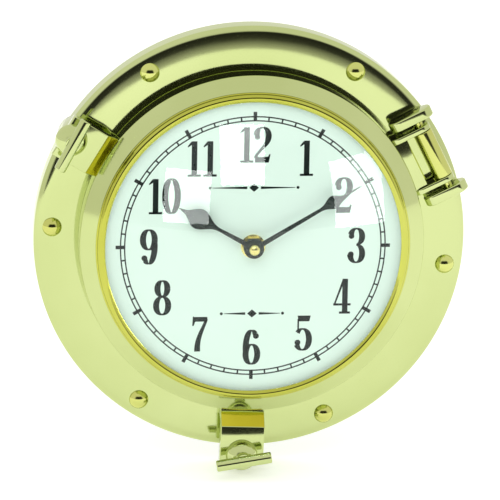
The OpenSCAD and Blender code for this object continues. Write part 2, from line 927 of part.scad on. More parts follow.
module intermediate_wheel() {
    color(nylon) upright() {
        gear_gap(intermediate_teeth, train_m, level_a, intermediate_xy, rotor_dir);
        gear(intermediate_leaves, train_m, level_b, intermediate_xy, intermediate_dir + 180);
        arbor(intermediate_xy, [level_a[0] - 0.5, bridge_h[0] - 0.2], [cover_h - 0.8, bridge_h[1] - 0.2]);
    }
}

module third_wheel() {
    color(nylon) upright() {
        gear_gap(third_teeth, train_m, level_c, third_xy, third_dir + 180);
        gear(third_leaves, centre_m, level_d, third_xy, third_dir + 180);
        arbor(third_xy, [cover_h + 0.3, level_d[0] + 0.1], [cover_h - 0.8, bridge_h[1] - 0.2]);
    }
}

module centre_wheel() {
    color(nylon) upright() difference() {
        gear_gap(centre_teeth, centre_m, level_d, [0, 0], third_dir);
        rod(cannon_r + pivot_fit, [level_d[0] - 1, level_d[1] + 1]);
    }
}

module rotor() {
    color(steel) upright() {
        gear(rotor_teeth, train_m, level_a, rotor_xy, rotor_dir + 180);
        rod(magnet_r, magnet_h, rotor_xy);
        arbor(rotor_xy, [level_a[0] - 0.5, bridge_h[0] - 0.2], [cover_h - 0.8, bridge_h[1] - 0.2]);
    }
}

// ---- movement ----

module movement_case() {
    front_in_h = case_front_h - front_t;
    inner_x = case_x - case_wall;
    color(black) upright() difference() {
        union() {
            difference() {
                block([-case_x, -case_bottom, cover_h], [case_x, case_top, case_front_h]);
                block([-inner_x, divider_y[1], 0], [inner_x, case_top - case_wall, front_in_h]);
                block([-inner_x, -case_bottom + case_wall - 0.1, 0], [inner_x, divider_y[0], front_in_h]);
            }
            for (x = [-inner_x, inner_x - corner_post],
                 y = [divider_y[1], case_top - case_wall - corner_post])
                block([x, y, bridge_h[1]], [x + corner_post, y + corner_post, front_in_h]);
        }
        rod(bush_r, [0, case_front_h + 1]);
        rod(bush_r + 1.6, [0, front_in_h]);
        rod(pivot_r + pivot_fit, [0, front_in_h + 0.8], motion_xy);
        block([board_x[0] - 0.2, board_y[0] - 1, board_h[0]], [inner_x, board_y[1] + 0.2, board_h[1]]);
    }
}

module movement_cover() {
    color(black) upright() difference() {
        block([-case_x, divider_y[0], case_back_h], [case_x, case_top, cover_h]);
        for (at = [[0, 0], intermediate_xy, third_xy, rotor_xy])
            rod((norm(at) > 0 ? pivot_r : seconds_arbor_r) + pivot_fit, [cover_h - 1, cover_h + 1], at);
        rod(knob_shaft_r + pivot_fit, [case_back_h - 1, cover_h + 1], knob_xy);
    }
}

module movement_bridge() {
    inner_x = case_x - case_wall;
    color(nylon) upright() difference() {
        block([bridge_gap - inner_x, divider_y[1] + bridge_gap, bridge_h[0]],
              [inner_x - bridge_gap, case_top - case_wall - bridge_gap, bridge_h[1]]);
        rod(cannon_r + pivot_fit, [case_back_h, case_front_h]);
        for (at = [intermediate_xy, third_xy, rotor_xy, motion_xy])
            rod(pivot_r + pivot_fit, [case_back_h, case_front_h], at);
        rod(knob_shaft_r + pivot_fit, [case_back_h, case_front_h], knob_xy);
    }
}

module stator() {
    reach = coil_x - rotor_xy[0];
    color(steel) upright() difference() {
        union() {
            rod(stator_lobe_r, stator_h, rotor_xy);
            for (side = [-1, 1])
                block([coil_x - core_half_w,
                       min(side * coil_half_len, side * core_half_len), stator_h[0]],
                      [rotor_xy[0] - reach / 4,
                       max(side * coil_half_len, side * core_half_len), stator_h[1]]);
            for (side = [-1, 1])
                block([rotor_xy[0] + reach / 8, min(0, side * core_half_len), stator_h[0]],
                      [rotor_xy[0] - reach / 4, max(0, side * core_half_len), stator_h[1]]);
            block([coil_x - core_half_w, -core_half_len, stator_h[0]],
                  [coil_x + core_half_w, core_half_len, stator_h[1]]);
        }
        rod(stator_bore_r, [case_back_h, case_front_h], rotor_xy);
    }
}

module coil() {
    middle = (stator_h[0] + stator_h[1]) / 2;
    color("#b5662c") upright() difference() {
        translate([coil_x, coil_half_len - 0.2, middle]) rotate([90, 0, 0])
            cylinder(r = coil_r, h = 2 * coil_half_len - 0.4);
        block([coil_x - core_half_w - core_fit, -core_half_len, stator_h[0] - core_fit],
              [coil_x + core_half_w + core_fit, core_half_len, stator_h[1] + core_fit]);
        rod(stator_lobe_r + core_fit, [stator_h[0] - core_fit, stator_h[1] + core_fit], rotor_xy);
        block([coil_x + core_half_w, -core_half_len, stator_h[0] - core_fit],
              [rotor_xy[0], core_half_len, stator_h[1] + core_fit]);
    }
}

module circuit_board() {
    color("#2f6b3c") upright() {
        block([board_x[0], board_y[0], board_h[0]], [board_x[1], board_y[1], board_h[1]]);
        translate([board_x[0] + 5, board_y[0] + 8, board_h[0]]) mirror([0, 0, 1]) dome(2.6, 1.1);
        translate([board_x[0] + 9.5, board_y[1] - 3, board_h[0] - 0.9]) rotate([90, 0, 0])
            cylinder(r = 1, h = 6);
    }
}

// A battery contact: a flat blade against the end of the battery bay.
module contact(side) {
    inner = case_x - case_wall;
    x0 = side * inner;
    x1 = side * (inner - contact_t);
    color(steel) upright() block(
        [min(x0, x1), battery_y - 5, battery_h - 5],
        [max(x0, x1), battery_y + 5, battery_h + 5]);
}

module contact_plus() { contact(1); }
module contact_minus() { contact(-1); }

module battery() {
    nub = 1.2;
    color("#c8a24a") upright() translate([-battery_len / 2, battery_y, battery_h]) rotate([0, 90, 0]) {
        cylinder(r = battery_d / 2, h = battery_len - nub);
        cylinder(r = 2.7, h = battery_len);
    }
}

flange();
flange_skirt();
collar();
hinge_ears();
dog_bosses();
hanger_posts();
rivets();
hinge_pin();
back_plate();
back_plate_screws();
hanger();
hanger_screws();
dial();
dial_nut();
dial_washer();
dial_gasket();
movement_case();
movement_cover();
movement_bridge();
shaft_bush();
stator();
coil();
circuit_board();
contact_plus();
contact_minus();
battery();
door_ring();
door_front();
door_lugs();
hinge_bracket();
bezel_bead();
glass();
glass_gasket();
glass_retainer();
hinge_barrel();
dog_left_cup();
dog_left_screw();
dog_left_bar();
dog_bottom_cup();
dog_bottom_screw();
dog_bottom_bar();
minute_hand();
minute_cap_nut();
cannon_pinion();
hour_hand();
hour_wheel();
motion_wheel();
setting_knob();
seconds_wheel();
rotor();
intermediate_wheel();
third_wheel();
centre_wheel();
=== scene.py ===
"""Ship's deck clock: a polished brass porthole case, its hinged glazed door and a printed dial."""
import json
import logging
import math
from dataclasses import dataclass
from enum import Enum
from typing import Callable, Optional

import bpy
import numpy as np
from mathutils import Matrix, Vector


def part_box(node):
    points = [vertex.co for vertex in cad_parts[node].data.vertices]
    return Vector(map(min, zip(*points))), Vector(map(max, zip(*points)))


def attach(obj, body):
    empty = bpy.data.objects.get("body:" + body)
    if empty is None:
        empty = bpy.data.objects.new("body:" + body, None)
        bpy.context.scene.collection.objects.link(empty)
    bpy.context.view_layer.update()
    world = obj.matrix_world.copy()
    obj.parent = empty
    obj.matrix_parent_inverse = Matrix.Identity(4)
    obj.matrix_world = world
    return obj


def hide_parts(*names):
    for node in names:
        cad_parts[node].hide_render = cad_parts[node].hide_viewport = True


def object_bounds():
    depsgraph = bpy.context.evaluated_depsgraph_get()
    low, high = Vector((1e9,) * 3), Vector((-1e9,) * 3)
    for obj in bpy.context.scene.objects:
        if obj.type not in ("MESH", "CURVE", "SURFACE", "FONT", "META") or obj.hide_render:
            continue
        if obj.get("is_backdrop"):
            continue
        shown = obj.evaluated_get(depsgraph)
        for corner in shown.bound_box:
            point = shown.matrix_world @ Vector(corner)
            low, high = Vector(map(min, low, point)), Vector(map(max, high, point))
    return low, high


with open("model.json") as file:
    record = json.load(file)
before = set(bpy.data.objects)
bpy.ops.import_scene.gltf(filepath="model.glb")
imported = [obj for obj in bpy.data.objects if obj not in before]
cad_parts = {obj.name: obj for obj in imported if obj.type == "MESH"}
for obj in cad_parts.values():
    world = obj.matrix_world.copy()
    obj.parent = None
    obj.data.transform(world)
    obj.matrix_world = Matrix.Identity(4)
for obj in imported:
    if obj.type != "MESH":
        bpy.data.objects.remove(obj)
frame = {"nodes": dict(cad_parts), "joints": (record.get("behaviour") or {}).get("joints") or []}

LOG = logging.getLogger("deck_clock")
MM = 0.001
Part = tuple[np.ndarray, list[list[int]]]


# ---------------------------------------------------------------- geometry helpers

def to_row(points: np.ndarray) -> np.ndarray:
    """Turns working points into the row frame.

    Args:
        points: (n, 3) millimetres; x right, y up, z away from the wall.

    Returns:
        (n, 3) metres, where (x, y, z) becomes (x, -z, y).
    """
    p = np.asarray(points, float)
    return np.column_stack([p[:, 0], -p[:, 2], p[:, 1]]) * MM


def arc(centre: tuple[float, float], radius: float, start: float, end: float, steps: int = 8) -> np.ndarray:
    """Points of a circular arc: centre plus radius times (cos, sin) of evenly spaced angles.

    Args:
        centre: the arc's centre.
        radius: its radius.
        start: first angle in degrees.
        end: last angle in degrees.
        steps: number of equal steps.

    Returns:
        (steps + 1, 2) points.
    """
    a = np.radians(np.linspace(start, end, steps + 1))
    return np.column_stack([centre[0] + radius * np.cos(a), centre[1] + radius * np.sin(a)])


def signed_volume(verts: np.ndarray, faces: list[list[int]]) -> float:
    """Six times the enclosed volume: the sum of triple products over fan triangles.

    Args:
        verts: (n, 3) points.
        faces: faces as lists of vertex indices.

    Returns:
        Six times the volume, negative where the faces point inwards.
    """
    total = 0.0
    for size in {len(f) for f in faces}:
        f = np.array([g for g in faces if len(g) == size])
        a = verts[f[:, 0]]
        for i in range(1, size - 1):
            total += float(np.einsum("ij,ij->i", a, np.cross(verts[f[:, i]], verts[f[:, i + 1]])).sum())
    return total


def outward(part: Part) -> Part:
    """Turns a closed part's faces round if it encloses a negative volume.

    Args:
        part: vertices and faces.

    Returns:
        The same part, its faces pointing outwards.
    """
    verts, faces = part
    if signed_volume(verts, faces) < 0:
        faces = [f[::-1] for f in faces]
    return verts, faces


def grid_faces(rows: int, cols: int, wrap_rows: bool, wrap_cols: bool) -> list[list[int]]:
    """Quads between neighbouring points of a grid numbered row by row.

    Args:
        rows: number of rows.
        cols: number of columns.
        wrap_rows: join the last row to the first.
        wrap_cols: join the last column to the first.

    Returns:
        Faces as lists of vertex indices.
    """
    i = np.arange(rows if wrap_rows else rows - 1)
    j = np.arange(cols if wrap_cols else cols - 1)
    ii, jj = np.meshgrid(i, j, indexing="ij")
    ii, jj = ii.ravel(), jj.ravel()
    ni, nj = (ii + 1) % rows, (jj + 1) % cols
    return np.column_stack([ii * cols + jj, ii * cols + nj, ni * cols + nj, ni * cols + jj]).tolist()


def lathe(profile: np.ndarray, segments: int = 96, ring: bool = False) -> Part:
    """A profile turned about the z axis: (r, z) becomes (r cos a, r sin a, z).

    Args:
        profile: (n, 2) radius and height; an open profile starts and ends on the axis.
        segments: steps around the axis.
        ring: the profile is a closed loop clear of the axis.

    Returns:
        Vertices and faces, facing outwards.
    """
    p = np.asarray(profile, float)
    a = np.linspace(0, 2 * math.pi, segments, endpoint=False)
    body = p if ring else p[1:-1]
    verts = np.stack([np.outer(body[:, 0], np.cos(a)), np.outer(body[:, 0], np.sin(a)),
                      np.repeat(body[:, 1:], segments, axis=1)], axis=-1).reshape(-1, 3)
    faces = grid_faces(len(body), segments, ring, True)
    if not ring:
        first, last = len(verts), len(verts) + 1
        verts = np.vstack([verts, [0, 0, p[0, 1]], [0, 0, p[-1, 1]]])
        top = (len(body) - 1) * segments
        for j in range(segments):
            faces.append([first, (j + 1) % segments, j])
            faces.append([last, top + j, top + (j + 1) % segments])
    return outward((verts, faces))


def loft(rings: list[np.ndarray]) -> Part:
    """A closed solid through rings of equal length, its ends closed by flat faces.

    Args:
        rings: (n, 3) rings of points, from one end to the other.

    Returns:
        Vertices and faces, facing outwards.
    """
    n = len(rings[0])
    verts = np.vstack(rings)
    faces = grid_faces(len(rings), n, False, True)
    faces.append(list(range(n))[::-1])
    faces.append([(len(rings) - 1) * n + k for k in range(n)])
    return outward((verts, faces))


def inset(outline: np.ndarray, distance: float) -> np.ndarray:
    """Moves each point of a counter-clockwise outline inwards along the mean normal of its two edges.

    Args:
        outline: (n, 2) points.
        distance: how far to move.

    Returns:
        (n, 2) points.
    """
    e = np.roll(outline, -1, axis=0) - outline
    e /= np.linalg.norm(e, axis=1, keepdims=True)
    n = np.column_stack([-e[:, 1], e[:, 0]])
    m = n + np.roll(n, 1, axis=0)
    m /= np.maximum((m * m).sum(axis=1, keepdims=True) / 2, 0.5)
    return outline + m * distance


def bevelled_prism(outline: np.ndarray, low: float, high: float, bevel: float, steps: int = 3) -> Part:
    """An outline raised between two heights with quarter-round edges.

    Args:
        outline: (n, 2) counter-clockwise points.
        low: lower height.
        high: upper height.
        bevel: radius of the rounded edges.
        steps: steps in each quarter round.

    Returns:
        Vertices and faces.
    """
    t = np.radians(np.linspace(0, 90, steps + 1))
    rings = []
    for a in t:
        flat = inset(outline, bevel * (1 - math.sin(a)))
        rings.append(np.column_stack([flat, np.full(len(flat), low + bevel * (1 - math.cos(a)))]))
    for a in t[::-1]:
        flat = inset(outline, bevel * (1 - math.sin(a)))
        rings.append(np.column_stack([flat, np.full(len(flat), high - bevel * (1 - math.cos(a)))]))
    return loft(rings)


def slot_outline(u0: float, u1: float, v: float, r: float, steps: int = 16) -> np.ndarray:
    """Counter-clockwise outline with straight sides and round ends, from u0 to u1 at height v."""
    return np.vstack([arc((u1 - r, v), r, -90, 90, steps), arc((u0 + r, v), r, 90, 270, steps)])


def moved(part: Part, place: Callable[[np.ndarray], np.ndarray]) -> Part:
    """Puts a part's points through a mapping and keeps its faces outward."""
    verts, faces = part
    return outward((place(verts), faces))


def joined(parts: list[Part]) -> Part:
    """Several closed parts as one list of vertices and faces.

    Args:
        parts: the parts.

    Returns:
        One part.
    """
    verts, faces, base = [], [], 0
    for v, f in parts:
        verts.append(v)
        faces += [[i + base for i in g] for g in f]
        base += len(v)
    return np.vstack(verts), faces


def stand_side(points: np.ndarray) -> np.ndarray:
    """Turns an outline drawn in (u, height) and raised in z into (u, -z, height)."""
    return np.column_stack([points[:, 0], -points[:, 2], points[:, 1]])


def lay_flat(points: np.ndarray) -> np.ndarray:
    """Lays a piece turned about z along y: (x, y, z) becomes (x, z, -y)."""
    return np.column_stack([points[:, 0], points[:, 2], -points[:, 1]])


def shift(x: float = 0, y: float = 0, z: float = 0) -> Callable[[np.ndarray], np.ndarray]:
    """A mapping that moves points by (x, y, z)."""
    return lambda p: p + np.array([x, y, z])


def turn(angle: float) -> Callable[[np.ndarray], np.ndarray]:
    """A mapping that turns points about z by an angle in degrees."""
    c, s = math.cos(math.radians(angle)), math.sin(math.radians(angle))
    return lambda p: np.column_stack([c * p[:, 0] - s * p[:, 1], s * p[:, 0] + c * p[:, 1], p[:, 2]])


def make_piece(name: str, part: Part, finish: bpy.types.Material, body: str,
               replaces: tuple[str, ...] = (), smooth: float = 32) -> bpy.types.Object:
    """Makes a mesh object, dresses it and hangs it on a body.

    Args:
        name: the object's name.
        part: vertices in working millimetres, and faces.
        finish: its material.
        body: the body that it rides on.
        replaces: CAD nodes that it stands for.
        smooth: edges sharper than this, in degrees, stay sharp.

    Returns:
        The new object.
    """
    verts, faces = part
    mesh = bpy.data.meshes.new(name)
    mesh.from_pydata(to_row(verts).tolist(), [], faces)
    mesh.shade_smooth()
    mesh.set_sharp_from_angle(angle=math.radians(smooth))
    mesh.materials.append(finish)
    piece = bpy.data.objects.new(name, mesh)
    bpy.context.scene.collection.objects.link(piece)
    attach(piece, body)
    if replaces:
        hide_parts(*replaces)
    LOG.info("piece %s: %d points, %d faces", name, len(verts), len(faces))
    return piece


# ---------------------------------------------------------------- finishes

class Nodes:
    """A material's node tree, with short calls for adding and joining nodes."""

    def __init__(self, name: str) -> None:
        """Starts a material with one surface shader.

        Args:
            name: the material's name.
        """
        self.material = bpy.data.materials.new(name)
        self.material.use_nodes = True
        self.tree = self.material.node_tree
        self.shader = self.tree.nodes["Principled BSDF"]
        self.place = self.add("ShaderNodeTexCoord").outputs["Object"]

    def add(self, kind: str, **values: object) -> bpy.types.Node:
        """Adds a node and sets its properties and its inputs' constants.

        Args:
            kind: the node's type.
            values: properties or input constants by name; an underscore stands for a space.

        Returns:
            The new node.
        """
        node = self.tree.nodes.new(kind)
        for key, value in values.items():
            if hasattr(node, key):
                setattr(node, key, value)
            else:
                node.inputs[key.replace("_", " ")].default_value = value
        return node

    def join(self, source: bpy.types.NodeSocket, target: bpy.types.NodeSocket) -> None:
        """Links an output to an input."""
        self.tree.links.new(source, target)

    def noise(self, scale: float, detail: float = 2.0, stretch: Optional[tuple[float, float, float]] = None
              ) -> bpy.types.NodeSocket:
        """A noise pattern on the piece's own coordinates, stretched along an axis where asked.

        Args:
            scale: features in a metre, or so.
            detail: octaves.
            stretch: scale along each axis.

        Returns:
            The pattern's socket.
        """
        source = self.place
        if stretch:
            mapping = self.add("ShaderNodeMapping", Scale=stretch)
            self.join(self.place, mapping.inputs["Vector"])
            source = mapping.outputs["Vector"]
        node = self.add("ShaderNodeTexNoise", Scale=scale, Detail=detail)
        self.join(source, node.inputs["Vector"])
        return node.outputs["Fac"]

    def ramp(self, value: bpy.types.NodeSocket, stops: list[tuple[float, tuple[float, ...]]]
             ) -> bpy.types.NodeSocket:
        """Colours a value through a list of (position, colour) stops.

        Args:
            value: the socket to colour.
            stops: positions with their colours.

        Returns:
            The colour's socket.
        """
        node = self.add("ShaderNodeValToRGB")
        band = node.color_ramp.elements
        while len(band) < len(stops):
            band.new(0.5)
        for element, (position, colour) in zip(band, stops):
            element.position = position
            element.color = (*colour[:3], 1.0)
        self.join(value, node.inputs["Fac"])
        return node.outputs["Color"]

    def level(self, value: bpy.types.NodeSocket, low: float, high: float) -> bpy.types.NodeSocket:
        """Maps 0..1 on to low..high.

        Args:
            value: the socket to map.
            low: result at 0.
            high: result at 1.

        Returns:
            The result's socket.
        """
        node = self.add("ShaderNodeMapRange")
        node.inputs["To Min"].default_value = low
        node.inputs["To Max"].default_value = high
        self.join(value, node.inputs["Value"])
        return node.outputs["Result"]

    def bump(self, value: bpy.types.NodeSocket, strength: float, distance: float) -> None:
        """Raises the surface by a value.

        Args:
            value: the height.
            strength: share of the effect.
            distance: height in metres.
        """
        node = self.add("ShaderNodeBump", Strength=strength, Distance=distance)
        self.join(value, node.inputs["Height"])
        self.join(node.outputs["Normal"], self.shader.inputs["Normal"])

    def set(self, **values: object) -> None:
        """Sets constants on the shader's own sockets."""
        for key, value in values.items():
            self.shader.inputs[key.replace("_", " ")].default_value = value


@dataclass(frozen=True)
class Metal:
    """A metal whose tone drifts between two colours, polished to a given gloss.

    Its height is fine noise, as a buffing wheel leaves, and its roughness drifts with a broader noise.
    """

    name: str
    light: tuple[float, float, float]
    dark: tuple[float, float, float]
    gloss: tuple[float, float] = (0.05, 0.12)
    ripple: float = 0.04
    grain: float = 60.0

    def build(self) -> bpy.types.Material:
        """Makes the material.

        Returns:
            The material.
        """
        n = Nodes(self.name)
        n.set(Metallic=1.0)
        tone = n.noise(14.0, 3.0)
        n.join(n.ramp(tone, [(0.35, self.dark), (0.65, self.light)]), n.shader.inputs["Base Color"])
        n.join(n.level(n.noise(self.grain, 4.0), *self.gloss), n.shader.inputs["Roughness"])
        n.bump(n.noise(self.grain * 0.6, 2.0), self.ripple, 0.0006)
        return n.material


@dataclass(frozen=True)
class Coating:
    """A paint, plastic, rubber or card: a drifting colour, a fine grain and a soft gloss."""

    name: str
    light: tuple[float, float, float]
    dark: tuple[float, float, float]
    gloss: tuple[float, float] = (0.35, 0.5)
    grain: float = 900.0
    relief: float = 0.15
    sheen: float = 0.5

    def build(self) -> bpy.types.Material:
        """Makes the material.

        Returns:
            The material.
        """
        n = Nodes(self.name)
        n.set(Specular_IOR_Level=self.sheen)
        tone = n.ramp(n.noise(25.0, 4.0), [(0.3, self.dark), (0.7, self.light)])
        n.join(tone, n.shader.inputs["Base Color"])
        fine = n.noise(self.grain, 3.0)
        n.join(n.level(fine, *self.gloss), n.shader.inputs["Roughness"])
        n.bump(fine, self.relief, 0.0002)
        return n.material


@dataclass(frozen=True)
class Pane:
    """Clear glass with a barely uneven face."""

    name: str
    tint: tuple[float, float, float]

    def build(self) -> bpy.types.Material:
        """Makes the material.

        Returns:
            The material.
        """
        n = Nodes(self.name)
        n.set(Base_Color=(*self.tint, 1.0), Transmission_Weight=1.0, IOR=1.30)
        n.join(n.level(n.noise(30.0, 2.0), 0.0, 0.015), n.shader.inputs["Roughness"])
        return n.material


@dataclass(frozen=True)
class Winding:
    """Fine enamelled wire laid side by side: narrow bands across the piece's height."""

    name: str
    light: tuple[float, float, float]
    dark: tuple[float, float, float]

    def build(self) -> bpy.types.Material:
        """Makes the material.

        Returns:
            The material.
        """
        n = Nodes(self.name)
        wave = n.add("ShaderNodeTexWave", Scale=420.0, bands_direction="Z")
        n.join(n.place, wave.inputs["Vector"])
        tone = n.ramp(wave.outputs["Fac"], [(0.0, self.dark), (1.0, self.light)])
        n.join(tone, n.shader.inputs["Base Color"])
        n.set(Metallic=0.7, Roughness=0.3)
        n.bump(wave.outputs["Fac"], 0.6, 0.0002)
        return n.material


@dataclass(frozen=True)
class Board:
    """A green circuit board: solder mask crossed by paler copper tracks."""

    name: str

    def build(self) -> bpy.types.Material:
        """Makes the material.

        Returns:
            The material.
        """
        n = Nodes(self.name)
        brick = n.add("ShaderNodeTexBrick", Scale=260.0, Color1=(0.02, 0.11, 0.04, 1),
                      Color2=(0.03, 0.14, 0.05, 1), Mortar=(0.10, 0.26, 0.10, 1), Mortar_Size=0.03)
        n.join(n.place, brick.inputs["Vector"])
        n.join(brick.outputs["Color"], n.shader.inputs["Base Color"])
        n.join(n.level(n.noise(300.0), 0.25, 0.4), n.shader.inputs["Roughness"])
        return n.material


class Finish(Enum):
    """The finishes that the clock's pieces are given, with one painted reflection for the lugs' slopes."""

    POLISHED = Metal("polished_brass", (0.565, 0.625, 0.285), (0.515, 0.575, 0.245))
    BEAD = Metal("bead_brass", (0.54, 0.555, 0.115), (0.47, 0.475, 0.07), (0.06, 0.14))
    # painted reflection: a deeper gold that stands in for the neighbouring brass mirrored in the lugs' slopes
    SLOPE = Metal("slope_painted_reflection", (0.66, 0.60, 0.05), (0.46, 0.40, 0.02), (0.10, 0.2))
    RIVET = Metal("rivet_brass", (0.62, 0.65, 0.21), (0.55, 0.56, 0.15), (0.06, 0.14))
    TURNED = Metal("turned_brass", (0.80, 0.68, 0.28), (0.70, 0.58, 0.20), (0.15, 0.28), 0.08, 300.0)
    ZINC = Metal("zinc_steel", (0.62, 0.63, 0.66), (0.48, 0.49, 0.52), (0.25, 0.42), 0.1, 400.0)
    ENAMEL = Coating("hand_enamel", (0.012, 0.02, 0.017), (0.006, 0.010, 0.009), (0.22, 0.34), 700.0, 0.04)
    BLACK_PLATE = Coating("black_plate_paint", (0.022, 0.022, 0.024), (0.012, 0.012, 0.013),
                          (0.38, 0.55), 700.0, 0.3)
    DIAL = Coating("dial_white", (0.75, 0.885, 0.812), (0.736, 0.876, 0.797), (0.6, 0.72), 1500.0, 0.03, 0.1)
    INK = Coating("printing_ink", (0.012, 0.018, 0.016), (0.006, 0.010, 0.009),
                  (0.6, 0.75), 1500.0, 0.05, 0.1)
    RUBBER = Coating("black_rubber", (0.03, 0.03, 0.031), (0.018, 0.018, 0.019), (0.6, 0.8), 800.0, 0.2)
    PLASTIC = Coating("black_plastic", (0.030, 0.030, 0.033), (0.020, 0.020, 0.022),
                      (0.4, 0.55), 1200.0, 0.35)
    NYLON = Coating("gear_nylon", (0.78, 0.76, 0.66), (0.70, 0.68, 0.58), (0.35, 0.5), 900.0, 0.1)
    CELL = Coating("battery_sleeve", (0.55, 0.36, 0.10), (0.46, 0.29, 0.07), (0.2, 0.32), 500.0, 0.03)
    GLASS = Pane("domed_glass", (0.96, 1.0, 0.985))
    COIL = Winding("copper_winding", (0.62, 0.26, 0.09), (0.22, 0.07, 0.02))
    BOARD = Board("circuit_board")


class Workshop:
    """Builds each finish once and hands it out."""

    def __init__(self) -> None:
        """Starts with no finishes made."""
        self.made: dict[Finish, bpy.types.Material] = {}

    def get(self, finish: Finish) -> bpy.types.Material:
        """The material for a finish, made at its first use.

        Args:
            finish: the finish wanted.

        Returns:
            Its material.
        """
        if finish not in self.made:
            self.made[finish] = finish.value.build()
        return self.made[finish]


# ---------------------------------------------------------------- places read from the frame

@dataclass
class Places:
    """Where the record's joints and the CAD's boxes put things, in working millimetres."""

    joints: dict[str, dict]

    def polar(self, joint: str) -> tuple[float, float]:
        """Distance from the dial's centre, and angle in degrees, of a hinge joint's axis."""
        x, _, z = self.joints[joint]["pos_m"]
        return math.hypot(x, z) / MM, math.degrees(math.atan2(z, x))

    def height(self, joint: str) -> float:
        """Distance of a joint from the wall."""
        return -self.joints[joint]["pos_m"][1] / MM

    def radius(self, node: str) -> float:
        """Outer radius of a turned node about the dial's centre, from its width."""
        low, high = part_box(node)
        return (high.x - low.x) / 2 / MM

    def span(self, node: str) -> tuple[float, float]:
        """Lowest and highest distance of a node from the wall."""
        low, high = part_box(node)
        return -high.y / MM, -low.y / MM


@dataclass
class Case:
    """The flange casting with its collar, skirt, ears and bosses, and the rivets."""

    places: Places
    shop: Workshop
    face_h: float = 14.0
    wall: float = 3.0
    roll: tuple[float, float] = (6.5, 3.2)
    roll_sweep: float = 78.0
    crown: float = 0.4
    face_in_r: float = 92.0
    collar_r: float = 86.5
    collar_wall: float = 4.0
    collar_h: float = 27.3
    ledge: tuple[float, float] = (80.5, 83.8)
    ear_offset: float = 22.5
    ear_t: float = 5.4
    ear_r: float = 5.7
    ear_span: tuple[float, float] = (93.0, 117.5)
    boss_back: float = 5.5
    boss_r: float = 10.5
    boss_h: float = 21.6
    rivet_r: float = 5.2
    rivet_h: float = 3.2
    rivet_ring: float = 106.5
    rivet_angles: tuple[float, ...] = (59, 121, 176, 236.5, 293, 352)

    def ring(self) -> Part:
        """Flange, skirt and collar turned in one: the face rises by a parabola between its edges.

        Returns:
            Vertices and faces.
        """
        r, h, w = self.places.radius("flange"), self.face_h, self.wall
        rim = ellipse(r - self.roll[0], h - self.roll[1], *self.roll, 0, self.roll_sweep, 20)
        t = np.linspace(0, 1, 17)[1:]
        edge = rim[-1]
        face = np.column_stack([edge[0] + t * (self.face_in_r - edge[0]),
                                edge[1] + t * (h - edge[1]) + self.crown * 4 * t * (1 - t)])
        dial_back = self.places.span("dial")[0]
        profile = np.vstack([
            [[r, 0.25], [r, 0.8]],
            rim,
            face,
            [[self.collar_r, h], [self.collar_r, self.collar_h - 1], [self.collar_r - 1, self.collar_h],
             [self.ledge[1], self.collar_h], [self.ledge[1], dial_back], [self.ledge[0], dial_back],
             [self.ledge[0], dial_back - 3], [self.collar_r - self.collar_wall, dial_back - 7],
             [self.collar_r - self.collar_wall, 4], [self.collar_r, 4], [self.collar_r, h - w]],
            arc((r - w - 1.5, h - w - 1.5), 1.5, 90, 0, 5),
            [[r - w, 0.25], [r - w + 0.25, 0], [r - 0.25, 0]],
        ])
        return lathe(profile, 256, ring=True)

    def ears(self) -> list[Part]:
        """The two hinge ears: bars with round ends, on straight roots.

        Returns:
            The bars and their roots.
        """
        hinge_u, hinge_angle = self.places.polar("door_hinge")
        height = self.places.height("door_hinge") - 0.2
        made = []
        for side in (-1, 1):
            low = side * self.ear_offset - self.ear_t / 2
            outline = slot_outline(*self.ear_span, height, self.ear_r)
            bar = bevelled_prism(outline, -low - self.ear_t, -low, 0.9, 4)
            root = slot_outline(self.ear_span[0] + 1.5, self.places.radius("flange") - 2.7, height - 4.4, 4.4)
            foot = bevelled_prism(root, -low - self.ear_t, -low, 0.4, 2)
            made += [moved(moved(p, stand_side), turn(hinge_angle)) for p in (bar, foot)]
        return made

    def bosses(self) -> list[Part]:
        """Round bosses that take the tips of the dog screws.

        Returns:
            One boss for each dog.
        """
        profile = np.vstack([[[0, 2.0]], arc((self.boss_r - 0.5, 2.5), 0.5, -90, 0, 3),
                             arc((self.boss_r - 0.9, self.boss_h - 0.9), 0.9, 0, 90, 5), [[0, self.boss_h]]])
        made = []
        for dog in ("dog_left_turn", "dog_bottom_turn"):
            u, angle = self.places.polar(dog)
            made.append(moved(moved(lathe(profile, 64), shift(u - self.boss_back)), turn(angle)))
        return made

    def rivets(self) -> Part:
        """Domed rivet heads, each a spherical cap on a short, slightly tapered side.

        Returns:
            All heads as one part.
        """
        sphere_r = (self.rivet_r ** 2 + self.rivet_h ** 2) / (2 * self.rivet_h)
        half = math.degrees(math.asin(self.rivet_r / sphere_r))
        cap = arc((0, self.rivet_h - sphere_r), sphere_r, 90 - half, 90, 14)
        profile = np.vstack([[[0, -1.0]], [[self.rivet_r - 0.1, -1.0]], cap])
        head = moved(lathe(profile, 48), shift(self.rivet_ring, 0, self.face_h + 0.2))
        return joined([moved(head, turn(a)) for a in self.rivet_angles])

    def build(self) -> None:
        """Makes the case's pieces."""
        brass = self.shop.get(Finish.POLISHED)
        make_piece("flange_casting", joined([self.ring(), *self.ears(), *self.bosses()]), brass, "case",
                   ("flange", "flange_skirt", "collar", "hinge_ears", "dog_bosses"))
        make_piece("rivet_heads", self.rivets(), self.shop.get(Finish.RIVET), "case",
                   ("rivets",))


